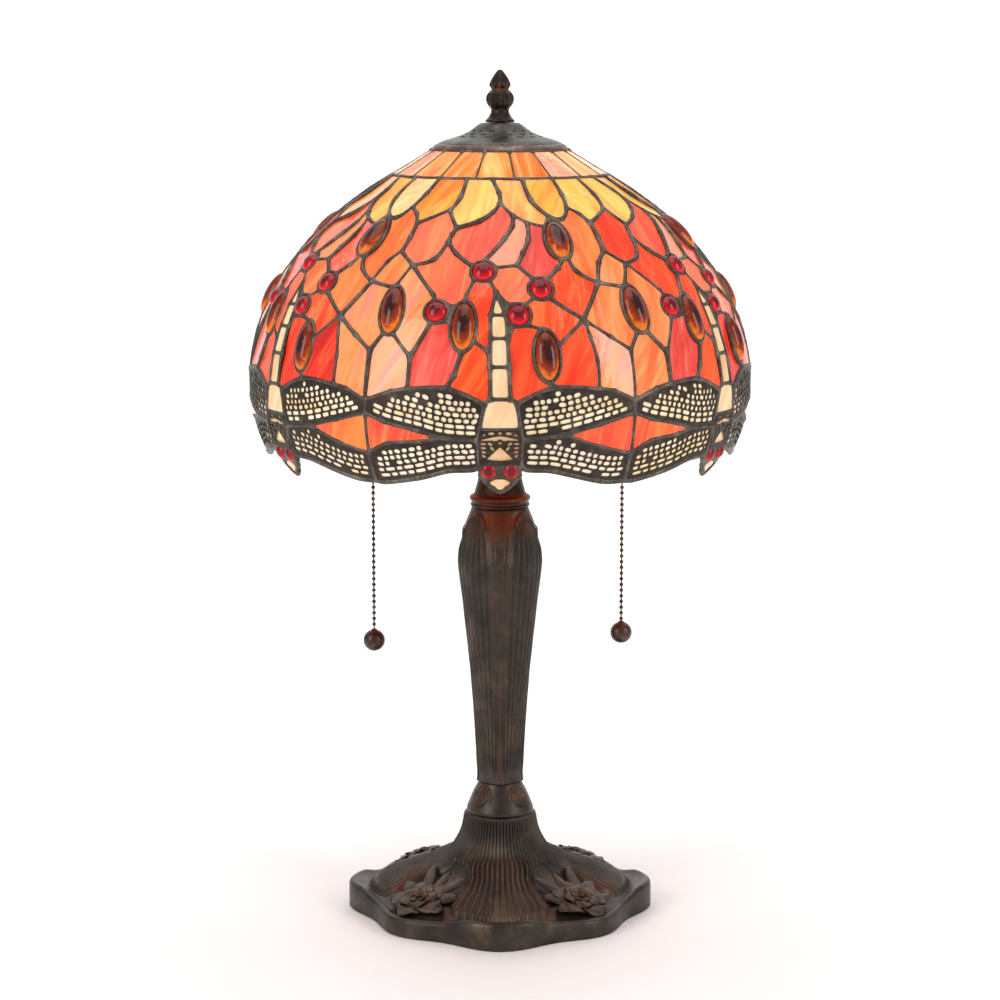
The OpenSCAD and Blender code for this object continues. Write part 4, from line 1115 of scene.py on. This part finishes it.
COLUMN = np.array([[13.5, 81.1], [13.2, 87.4], [13.8, 100], [14.7, 113], [15.7, 126], [16.9, 139],
                   [18.1, 152], [19.7, 164.6], [21.2, 177], [22.1, 184], [23.4, 196.5],
                   [24.9, 209], [25.9, 218], [26.1, 222], [25.8, 228], [24.5, 234.4],
                   [23.3, 240.7], [21.4, 247], [18.9, 253], [17.8, 255.9]])


def column():
    """A fluted column: four long leaves with rounded tops between four raised straps.

    Its radius follows the profile, drawn square towards the foot. A strap lies at the front, back
    and sides, flat between two edge beads. A leaf fills each quarter between, ribbed along its
    length under an arch, and the ground above the arches is sunk.
    """
    z = np.linspace(81.1, 255.9, 190)[:, None]
    a = np.linspace(0, 360, 480, endpoint=False)[None, :]
    r = np.interp(z, COLUMN[:, 1], COLUMN[:, 0])
    r = r * (1 + smooth_step(190, 90, z) * (squared(a, 1.55) * 1.035 - 1))
    fold = fourfold(a)
    u = np.abs(np.radians(fold) * r)
    strap = np.interp(z, [81, 110, 150, 170, 200, 220, 246, 256], [0.8, 1.4, 2.4, 3.1, 3.9, 4.8, 7.2,
                                                                   8.6])
    on_strap = smooth_step(0.5, -0.5, u - strap)
    quarter = 45 - np.abs(fold)
    arch_top = 252.5 - 9.0 * (quarter / 24) ** 2
    in_leaf = smooth_step(1.2, -1.2, z - arch_top) * (1 - on_strap)
    lean_in = 1 - 0.35 * smooth_step(222, 252, z)
    ribs = bulges((quarter / lean_in) * 9 / 90 + 0.5)
    fade = smooth_step(84, 96, z) * smooth_step(0, 3, arch_top - z)
    edge_bead = np.exp(-((u - strap - 0.35) / 0.7) ** 2) * smooth_step(253, 246, z)
    arch_bead = np.exp(-((z - arch_top) / 1.3) ** 2) * (1 - on_strap)
    sunk = smooth_step(0, 2.0, z - arch_top) * (1 - on_strap) * smooth_step(255.5, 252, z)
    spine = (np.exp(-(u / 0.7) ** 2) * smooth_step(150, 110, z)
             + 0.6 * np.exp(-((u - 0.42 * strap) / 0.45) ** 2) * smooth_step(120, 150, z)
             * smooth_step(240, 225, z))
    relief = (in_leaf * fade * (1.0 * ribs - 0.65) + 0.8 * edge_bead + 0.6 * arch_bead
              - 0.6 * sunk - 0.5 * on_strap * smooth_step(86, 110, z) + 0.6 * spine)
    dimple = np.exp(-((u / 0.9) ** 2 + ((z - 221) / 0.9) ** 2)) * (np.abs(a - 180) > 90)
    relief = relief - 0.6 * dimple
    # The patina amount: under glow, painted warm lamp light reflected on the top of the straps, leaf
    # hollows and sunk ground; a painted highlight on the edge beads; a little on the spine; and patina in
    # the dimple.
    glow = smooth_step(232, 246, z) * (1 - 0.7 * smooth_step(251, 254.5, z))
    patina = (glow * (0.36 * on_strap * (1 - edge_bead) + 0.3 * in_leaf * (1 - ribs) + 0.35 * sunk)
              + 0.1 * edge_bead + 0.12 * spine + 0.4 * dimple)
    return with_ends((r + relief, z + 0 * a, np.clip(patina, 0, 1)),
                     [[5.1, 81.1]], [[5.1, 255.9]])


cast_piece("column_casting", *column(), "stand", "bronze_casting", ["column"], BRONZE)


def collar():
    """The knop under the column: a bell with four spiral bosses, each under an arch."""
    z = np.linspace(61.6, 81, 90)[:, None]
    a = np.linspace(0, 360, 360, endpoint=False)[None, :]
    r = np.interp(z, [61.6, 62.4, 64, 66, 69, 73, 77, 81],
                  [20.2, 20.9, 20.9, 20.2, 19.0, 17.3, 15.2, 13.3]) + 0 * a
    across = np.radians(fourfold(a + 45)) * 16.5
    up = z - 73.2
    d = np.hypot(across, up)
    turn = np.arctan2(up, across)
    boss = np.sqrt(np.clip(1 - (d / 5.8) ** 2, 0, 1))
    coil = 0.5 + 0.5 * np.cos(2 * np.pi * d / 2.1 - turn)
    in_coil = smooth_step(5.6, 4.8, d) * smooth_step(0.3, 1.0, d)
    arch = np.exp(-((d - 6.8) / 0.7) ** 2) * smooth_step(-4, 0, up)
    relief = 2.3 * boss - 0.75 * coil * in_coil + 0.7 * arch
    patina = 0.25 * coil * in_coil + 0.2 * arch
    relief = relief * smooth_step(61.6, 64.0, z) * smooth_step(81.2, 79.0, z)
    return with_ends((r + relief, z + 0 * a, np.clip(patina, 0, 1)),
                     [[5.1, 61.6]], [[5.1, 81]])


cast_piece("collar_casting", *collar(), "stand", "bronze_casting", ["column_collar"], BRONZE)

BOWL = np.array([[21.2, 61.4], [21.7, 57], [22.6, 52], [24.2, 47.3], [27.0, 42], [31, 36.8],
                 [40, 28.0], [50, 21.6], [58, 19.3], [66, 18.1], [71, 16.8], [77, 13.5],
                 [84, 11.4], [100, 10.6]])
TONGUE = np.array([[21.2, 61.4], [21.7, 57], [22.6, 52], [24.2, 47.3], [27, 42.2], [31, 37.4],
                   [42, 31.2], [53, 26.4], [65, 21.8], [76, 17.6], [84, 16.6], [100, 16.8]])


TONGUE_SHARE = 34
TONGUE_RIBS = 6.5


def foot():
    """The foot: a fluted trumpet that runs out into four ribbed tongues on a lobed plate.

    The rows run out along the tongue's profile. The columns run along the ribs: three quarters of
    each quarter's columns share out the tongue's width, which narrows outwards, and the rest the
    bowl beside it. Height passes from the tongue's profile to the bowl's over a few millimetres.
    """
    t = np.linspace(-45, 315, 760, endpoint=False)[None, :]
    share = fourfold(t)
    tongue, bowl_line = curve_through(TONGUE, 12), curve_through(BOWL, 12)
    run = np.concatenate([[0], np.cumsum(np.hypot(*np.diff(tongue, axis=0).T))])
    r0 = np.interp(np.linspace(0, run[-1], 108), run, tongue[:, 0])[:, None]
    band = np.interp(r0, [22, 30, 36, 46, 60, 80, 92], [34, 34, 32, 25, 23.5, 24.5, 22])
    inner = np.abs(share) <= TONGUE_SHARE
    beside = (np.abs(share) - TONGUE_SHARE) / (45 - TONGUE_SHARE)
    fold = np.where(inner, share / TONGUE_SHARE * band,
                    np.sign(share) * (band + beside * (45 - band)))
    a = t - share + fold
    edge = 89.6 + 3.6 * np.cos(8 * np.radians(a)) + 2.2 * np.cos(4 * np.radians(a))
    r = np.where(r0 < 50, r0, 50 + (r0 - 50) / 50 * (edge - 51.6))
    base, high = np.interp(r, *bowl_line.T), np.interp(r, *tongue.T)
    rise = smooth_step(1.12, 0.94, np.abs(fold) / band)
    scallop = 1.6 * np.abs(np.sin(share / TONGUE_SHARE * TONGUE_RIBS * np.pi))
    on_tongue = rise * smooth_step(2.5, -2.5, r - 81.5 + scallop + 0.012 * fold ** 2)
    lobes = smooth_step(78, 89, r) * smooth_step(30, 10, np.abs(fold))
    plate = base + lobes * (16.4 - np.interp(r, *bowl_line.T))
    z = plate + (high - plate) * np.where(r < 34, 1.0, on_tongue)
    ribs = bulges(share / TONGUE_SHARE * TONGUE_RIBS)
    steep = smooth_step(36, 25, r)
    depth = (np.where(r < 34, 1.0, on_tongue) * smooth_step(61.6, 58, z) * smooth_step(84, 74, r)
             * np.where(inner, 1.0, smooth_step(44, 34, r)))
    r = r * (1 + steep * (squared(a, 1.5) * 1.05 - 1)) + 1.2 * steep * depth * (ribs - 0.6)
    lip = np.exp(-((r - edge + 3.0) / 2.0) ** 2)
    z = z + (1 - steep) * depth * (1.6 * ribs - 0.8) + 0.8 * lip
    valley = smooth_step(0.7, 0.0, ribs) * on_tongue
    shore = np.exp(-((np.abs(fold) - band) / 3) ** 2) * smooth_step(42, 55, r)
    patina = (0.35 * valley * smooth_step(34, 60, r) + 0.2 * shore * smooth_step(84, 76, r))
    rows_r, rows_z, rows_p = [r], [z], [np.clip(patina, 0, 1)]
    rim_r, rim_z, bare = edge[-1:], z[-1:], 0 * z[-1:]
    for out, share_up in ((-0.9, 0.975), (-0.3, 0.93), (0.0, 0.85), (0.05, 0.5), (0.0, 0.08)):
        rows_r.append(rim_r + out)
        rows_z.append(rim_z * share_up)
        rows_p.append(bare)
    for r_in, height in ((0.0, 0.6), (-0.6, 0.0), (-3.6, 0.0), (-4.0, 0.5), (-4.0, 8.0)):
        rows_r.append(rim_r + r_in)
        rows_z.append(bare + height)
        rows_p.append(bare)
    surface = tuple(np.concatenate(rows) for rows in (rows_r, rows_z, rows_p))
    extra = np.repeat(a[-1:], 10, 0)
    angles = np.concatenate([a[:1], a[:1], a, extra, np.repeat(a[-1:], 8, 0)])
    return angles, with_ends(surface, [[5.1, 55.5], [5.1, 61.4]],
                             [[80, 8.6], [72, 12], [69, 17.2], [50, 20], [32, 31], [24, 40], [19, 50],
                              [17.6, 55.5]])


foot_angles, foot_surface = foot()
cast_piece("foot_casting", *foot_surface, "stand", "bronze_casting", ["base_casting"], BRONZE,
           foot_angles)


# ---------------------------------------------------------------- flowers on the foot

def leaf(start, length, width, heading, tilt, curl, ruffle, veins=3, thick=1.0, rows=14, cols=12):
    """A petal or leaf: a closed lens whose width grows and shrinks along it as a sine.

    It bends up by curl along its length, its edges ripple by ruffle, and its face is fluted.
    """
    u = np.linspace(0, 1, rows)[:, None]
    v = np.linspace(0, 2 * np.pi, cols, endpoint=False)[None, :]
    half = width * np.sin(np.pi * np.clip(0.06 + 0.9 * u, 0, 1)) ** 0.7
    y = half * np.cos(v)
    face = thick * np.sin(v) * (0.4 + 0.6 * np.sin(np.pi * np.clip(u, 0.03, 0.97)))
    flute = 0.22 * np.cos(veins * 2 * np.pi * np.cos(v)) * (np.sin(v) > 0)
    x = length * u
    h = curl * u ** 2 + face + flute + ruffle * np.cos(v) ** 2 * np.sin(u * 9 + v)
    points = np.stack([x + 0 * v, y, h + 0 * v], -1).reshape(-1, 3)
    t, c = math.radians(tilt), math.radians(heading)
    points = points @ np.array([[math.cos(t), 0, math.sin(t)], [0, 1, 0],
                                [-math.sin(t), 0, math.cos(t)]])
    points = points @ np.array([[math.cos(c), math.sin(c), 0], [-math.sin(c), math.cos(c), 0],
                                [0, 0, 1]])
    faces = grid_faces(rows, cols, wrap=True)[:, ::-1].tolist()
    faces += [list(range(cols)), list(range((rows - 1) * cols, rows * cols))[::-1]]
    low = np.clip(1 - (h + 0 * v).ravel() / 3, 0, 1)
    return points + start, faces, 0.35 * np.clip(1.1 - u + 0 * v, 0, 1).ravel() * low


def flower():
    """One flower with its stems and leaves, lying on the foot with its face up and outwards.

    Two broad rings of ruffled petals lie round a small cup with a few stamens in it.
    """
    shapes = []
    for k in range(5):
        shapes.append(leaf((0, 0, 0.8), 17.5, 8.2, 72 * k + 6, 3, -0.4, ruffle=1.6, veins=3, thick=1.4,
                           rows=18, cols=20))
    for k in range(5):
        shapes.append(leaf((0, 0, 2.0), 11.5, 5.6, 72 * k + 42, 11, -0.6, ruffle=1.1, veins=2,
                           thick=1.2, cols=16))
    for k in range(6):
        u = math.radians(60 * k)
        shapes.append(leaf((2.6 * math.cos(u), 2.6 * math.sin(u), 2.8), 3.8, 2.4, 60 * k, 40, -0.4,
                           ruffle=0.3, veins=1, rows=8, cols=10))
    for heading, length, width, curl in ((150, 30, 4.2, 3.0), (207, 31, 4.0, 3.0), (178, 26, 3.0, 3.5),
                                         (118, 23, 6.0, 0.4), (242, 23, 6.0, 0.4), (80, 21, 5.4, 0),
                                         (-80, 21, 5.4, 0)):
        shapes.append(leaf((0, 0, -0.2), length, width, heading, 2, curl, ruffle=0.7, veins=3,
                           thick=1.7, cols=16))
    for k in range(5):
        u = math.radians(72 * k)
        points, faces = ball((1.2 * math.cos(u), 1.2 * math.sin(u), 4.4), (0.8, 0.8, 1.4), np.eye(3),
                             6, 8)
        shapes.append((points, faces, np.full(len(points), 0.3)))
    return shapes


def flowers():
    """The four flowers, tilted with the plate and set at its diagonals."""
    shapes, tones = [], []
    tilt = math.radians(19)
    lay = np.array([[math.cos(tilt), 0, -math.sin(tilt)], [0, 1, 0],
                    [math.sin(tilt), 0, math.cos(tilt)]])
    for k in range(4):
        for points, faces, patina in flower():
            spot = points * [1.08, 1.08, 0.9] @ lay + [69.5, 0, 17.6]
            shapes.append((turned(spot, 45 + 90 * k), faces))
            tones.append(patina)
    mesh = new_mesh("foot_flowers_cast", *joined(shapes))
    set_values(mesh, "patina", np.concatenate(tones))
    piece("foot_flowers_cast", mesh, BRONZE, "stand", "bronze_casting", ["foot_flowers"])


flowers()


# ---------------------------------------------------------------- turned metal

def turned_piece(name, profile, material, body, slot, nodes, relief=None, patina=None, turns=96):
    """A closed lathe shape; relief and the patina amount, which also carries painted warm lamp light, are
    functions of (degrees, height, radius).
    """
    profile = np.asarray(profile, float)
    a = np.linspace(0, 360, turns, endpoint=False)[None, :]
    r, z = profile[:, :1] + 0 * a, profile[:, 1:] + 0 * a
    if relief:
        r = r + relief(a, z, r)
    tone = np.clip(patina(a, z, r), 0, 1) if patina else 0 * r
    return cast_piece(name, r, z, tone, body, slot, nodes, material)


neck = [[5.1, 256.1], [17.9, 256.1]]
neck += curve_through([[17.9, 256.1], [18.4, 257.4], [17.6, 258.9], [18.4, 260.2], [18.9, 261.4],
                       [18.3, 262.7], [16.7, 263.5], [15.9, 264.6], [15.2, 267], [14.4, 269.8],
                       [13.3, 275], [12.5, 281], [12.2, 287.7]], 5)[1:].tolist()
# The patina amount peaks on the bead ring's upper shoulder, a painted warm highlight of the lamp above,
# and in the groove below it, which is patina in a hollow.
turned_piece("neck_turning", neck + [[5.1, 287.7]], TRIM, "stand", "bronze_trim", ["neck_cup"],
             patina=lambda a, z, r: 0.5 * np.exp(-((z - 262.6) / 1.3) ** 2)
             + 0.3 * np.exp(-((z - 258.9) / 0.7) ** 2))

finial = curve_through([[8.7, 491.4], [8.8, 492.6], [7.2, 494.2], [6.2, 496], [5.4, 498],
                        [6.0, 500], [7.6, 502], [8.5, 504.8], [8.3, 507], [7.1, 509], [5.5, 510.6],
                        [5.3, 511.6], [6.2, 513.6], [5.7, 515.6], [4.6, 518], [3.0, 520.6],
                        [1.3, 522.6]], 5)


def finial_relief(a, z, r):
    """Twelve ribs round the onion, and six leaves round the bud above it."""
    onion = smooth_step(500, 503, z) * smooth_step(510.5, 508, z)
    bud = smooth_step(511, 513, z) * smooth_step(522, 517, z)
    return (onion * (1.0 * bulges(a * 12 / 360) - 0.8)
            + bud * (1.1 * bulges((a + 3.0 * (z - 511)) * 6 / 360) - 0.8)) * (r > 4)


turned_piece("finial_turning", [[3.1, 491.4]] + finial.tolist() + [[0.02, 523.0], [0.02, 503.0],
                                                                     [3.1, 503.0]],
             TRIM, "finial", "bronze_trim", ["finial"], relief=finial_relief, turns=144,
             patina=lambda a, z, r: 0.35 * np.exp(-((z - 511) / 1.5) ** 2))

turned_piece("crown_ring", [[36.2, 474.9], [39.6, 474.6], [40.9, 474.2], [41.7, 474.6], [41.4, 475.6],
                            [40.6, 476.8], [39.6, 477.8], [38.5, 478.4], [37.4, 478.7],
                            [36.2, 478.2]], RING_METAL, "shade", "solder", ["shade_ring"], turns=144)

CAP = np.array([[3.4, 491.0], [11.2, 491.0], [12.6, 490.5], [15.5, 488.3], [18.7, 486.0],
                [22.5, 484.1], [26.7, 482.6], [31, 481.3], [34.6, 480.2], [37.0, 479.2],
                [38.0, 478.1]])


CAP_SLOTS = 16
CAP_T = 1.1


def cap():
    """The vented cap: a dished sheet with three rows of slots.

    It is cut flat, its angle across and the distance down its profile below zero, then wrapped
    round the axis so that its two ends meet; its other face lies a sheet's thickness inside.
    """
    line = curve_through(CAP, 5)
    run = -np.concatenate([[0], np.cumsum(np.hypot(*np.diff(line, axis=0).T))])
    way = np.gradient(line, axis=0)
    way /= np.linalg.norm(way, axis=1, keepdims=True)
    per_degree = 0.4
    wide, deep = 360 * per_degree, run[-1]
    u, v = np.linspace(0, wide, 121), np.linspace(0, deep, 14)
    sides = ((u, 0 * u + deep), (0 * v + wide, v[::-1]), (u[::-1], 0 * u), (0 * v, v))
    outline = np.concatenate([np.stack(side, 1)[:-1] for side in sides])
    holes = []
    for k in range(CAP_SLOTS):
        for row, radius, half_w, half_h, square in ((0, 18.0, 1.7, 0.95, 1.5), (0.5, 21.4, 2.2, 0.95, 1.7),
                                                    (0, 25.4, 2.6, 0.9, 3.0)):
            at = (k + row + 0.25) * wide / CAP_SLOTS % wide
            holes.append(oval((at, np.interp(radius, line[:, 0], run)),
                              half_w * 23 / radius, half_h, 0.0, square))
    flat, triangles = pierced(outline, holes, spread=2.4)
    flat = np.where(flat > [wide - 1e-4, 1e9], [0, 0], flat)
    flat, places = np.unique(flat.round(4), axis=0, return_inverse=True)

    def lift(q, side):
        """The flat points wrapped round the axis, on the top for side 1 and inside it for side 0."""
        a, back = np.radians(q[:, 0] / per_degree), -q[:, 1]
        r, z = (np.interp(back, -run, line[:, k]) for k in (0, 1))
        out, down = (np.interp(back, -run, way[:, k]) for k in (0, 1))
        r, z = r + (0 if side else CAP_T) * down, z - (0 if side else CAP_T) * out
        return np.stack([r * np.sin(a), -r * np.cos(a), z], 1)
    return slab(flat, places.reshape(-1)[triangles], lift)


mesh = new_mesh("cap_sheet", *cap(), smooth=False)
piece("cap_sheet", mesh, metal("cap_bronze", srgb("34322D"), srgb("504D45"), srgb("746F62"),
                               metallic=0.8, rough=(0.3, 0.48), scale=120.0, depth=0.0001),
      "shade", "bronze_trim", ["vented_cap"])


def crown_dots():
    """A drop of solder at the top of each band seam."""
    dots = []
    for k in range(BAND_PANES):
        spot = (BAND_PHASE + (2 * k - 1) * half, RING_Z - 0.6)
        normal = shade_normal(spot)[0]
        across = np.cross([0, 0, 1], normal)
        across /= np.linalg.norm(across)
        dots.append(ball(on_shade(spot, 0.8)[0], (1.7, 1.9, 1.3),
                         [across, np.cross(normal, across), normal], 8, 12))
    return joined(dots)


piece("crown_dots", new_mesh("crown_dots", *crown_dots()), SOLDER, "shade", "solder")


def ball_pull(side):
    """A turned ball with a fine seam round its middle and a bored neck for the chain."""
    low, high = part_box(side + "_ball_pull")
    cx, cz, r = (low.x + high.x) / 2 / MM, (low.z + high.z) / 2 / MM, (high.x - low.x) / 2 / MM
    u = np.radians(np.linspace(-89.8, 78, 26))
    shell = np.stack([r * np.cos(u), cz + r * np.sin(u)], 1)
    seam = 1 - 0.015 * np.exp(-((shell[:, 1:] - cz) / 0.35) ** 2)
    profile = np.concatenate([shell * np.concatenate([seam, np.ones_like(seam)], 1),
                              [[1.9, cz + 6.55], [1.7, cz + 7.1], [0.95, cz + 7.1],
                               [0.95, cz + 6.0], [0.02, cz + 6.0]]])
    turns = 48
    a = np.linspace(0, 2 * np.pi, turns, endpoint=False)[None, :]
    radius = profile[:, :1]
    points = np.stack([cx + radius * np.sin(a), -radius * np.cos(a), profile[:, 1:] + 0 * a], -1)
    mesh = new_mesh(side + "_ball", points.reshape(-1, 3),
                    grid_faces(len(profile), turns, wrap=True)[:, ::-1])
    # The top of the ball and its neck take the patina colour as a painted warm glint of the lamp above.
    set_values(mesh, "patina", np.repeat(0.3 * smooth_step(4.5, 7.0, profile[:, 1] - cz), turns))
    piece(side + "_ball", mesh, BALL, side + "_chain", "bronze_trim", [side + "_ball_pull"])


ball_pull("left")
ball_pull("right")


# ---------------------------------------------------------------- finishes of the other CAD nodes

CARRIED = dict(
    weight=metal("cast_iron", srgb("202226"), srgb("34363A"), srgb("4C4E52"), metallic=0.6,
                 rough=(0.5, 0.75), scale=80.0, depth=0.0006),
    felt=plain_matter("green_felt", srgb("14231A"), srgb("20352A"), 900.0, 0.95, 0.0008),
    plastic=plain_matter("black_plastic", srgb("0B0B0C"), srgb("161617"), 400.0, 0.45, 0.0001),
    steel=metal("plated_steel", srgb("8A8C8E"), srgb("A9ABAD"), srgb("C9CACC"), metallic=1.0,
                rough=(0.22, 0.4), scale=120.0),
    brass=metal("aged_brass", srgb("4A3414"), srgb("7A5A26"), srgb("A98746"), metallic=1.0,
                rough=(0.25, 0.45), scale=150.0),
    chain=metal("copper_bead", srgb("2A1C15"), srgb("4E352A"), srgb("86624C"), metallic=1.0,
                rough=(0.2, 0.4), scale=400.0),
    porcelain=plain_matter("porcelain", srgb("D9D5CB"), srgb("ECE9E1"), 70.0, 0.2, 0.0001),
    frosted=plain_matter("frosted_bulb", srgb("FFE3B0"), srgb("FFEFD0"), 40.0, 0.35, 0.0001,
                         lit=3.0),
)
FINISH_OF = dict(
    base_weight="weight", felt_pad="felt", cord_gland="plastic",
    rod_nut="steel", lock_washer="steel", centre_rod="brass", upper_rod="brass",
    shade_rest_washer="steel", cluster_body="brass",
)
for side in ("left", "right"):
    FINISH_OF.update({side + "_socket_shell": "brass", side + "_socket_core": "porcelain",
                      side + "_contact": "brass", side + "_chain_bell": "brass",
                      side + "_bulb_glass": "frosted", side + "_bulb_cap": "steel",
                      side + "_pull_link": "chain", side + "_chain_coupling": "chain",
                      side + "_pull_chain": "chain"})
for node, finish in FINISH_OF.items():
    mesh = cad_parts[node].data
    mesh.materials.clear()
    mesh.materials.append(CARRIED[finish])


# ---------------------------------------------------------------- floor, lights and camera

def floor():
    """A pale floor that sweeps up into a backdrop behind the lamp."""
    x = np.array([-3.0, 3.0])
    run = np.concatenate([np.stack([np.linspace(-2.5, 1.6, 12), np.zeros(12)], 1),
                          np.stack([1.6 + 0.8 * np.sin(np.linspace(0.1, np.pi / 2, 14)),
                                    0.8 - 0.8 * np.cos(np.linspace(0.1, np.pi / 2, 14))], 1),
                          [[2.4, 3.2]]])
    points = np.stack([np.tile(x, len(run)), np.repeat(run[:, 0], 2), np.repeat(run[:, 1], 2)], 1)
    mesh = new_mesh("floor", points / MM, grid_faces(len(run), 2))
    f = Finish("pale_floor")
    f.set(Base_Color=f.ramp(f.noise(f.place(), 3.0), (0.3, srgb("FAFAF9")), (0.7, srgb("FCFCFB"))),
          Roughness=0.6)
    obj = bpy.data.objects.new("floor", mesh)
    bpy.context.scene.collection.objects.link(obj)
    mesh.materials.append(f.material)


def soft_light(name, at, towards, size, watts):
    """A square soft box."""
    data = bpy.data.lights.new(name, "AREA")
    data.shape = "RECTANGLE"
    data.size, data.size_y = size
    data.energy = watts
    obj = bpy.data.objects.new(name, data)
    obj.location = at
    obj.rotation_euler = (Vector(towards) - Vector(at)).to_track_quat("-Z", "Y").to_euler()
    bpy.context.scene.collection.objects.link(obj)


floor()
soft_light("window_left", (-1.5, -1.3, 1.1), (0, 0, 0.35), (0.9, 1.5), 16)
soft_light("window_right", (1.6, -1.0, 0.9), (0, 0, 0.35), (0.6, 1.4), 11)
soft_light("overhead", (0.0, -0.2, 2.0), (0, 0, 0.3), (1.6, 1.6), 12)
soft_light("back_wash", (0.0, 1.0, 1.7), (0, 2.0, 0.5), (2.8, 0.8), 24)
world = bpy.data.worlds.new("studio")
world.use_nodes = True
world.node_tree.nodes["Background"].inputs["Color"].default_value = (0.93, 0.94, 0.96, 1)
world.node_tree.nodes["Background"].inputs["Strength"].default_value = 0.5
scene = bpy.context.scene
scene.world = world
scene.view_settings.view_transform = "Standard"

CAMERA_BACK, CAMERA_UP, CAMERA_DOWNWARDS = 1.6755, 0.5324, 9.25
camera_data = bpy.data.cameras.new("camera")
camera_data.lens = 98.7
camera_data.sensor_width = 36
camera_data.clip_end = 20
camera = bpy.data.objects.new("camera", camera_data)
camera.location = (0, -CAMERA_BACK, CAMERA_UP)
camera.rotation_euler = (math.radians(90 - CAMERA_DOWNWARDS), 0, 0)
scene.collection.objects.link(camera)
scene.camera = camera
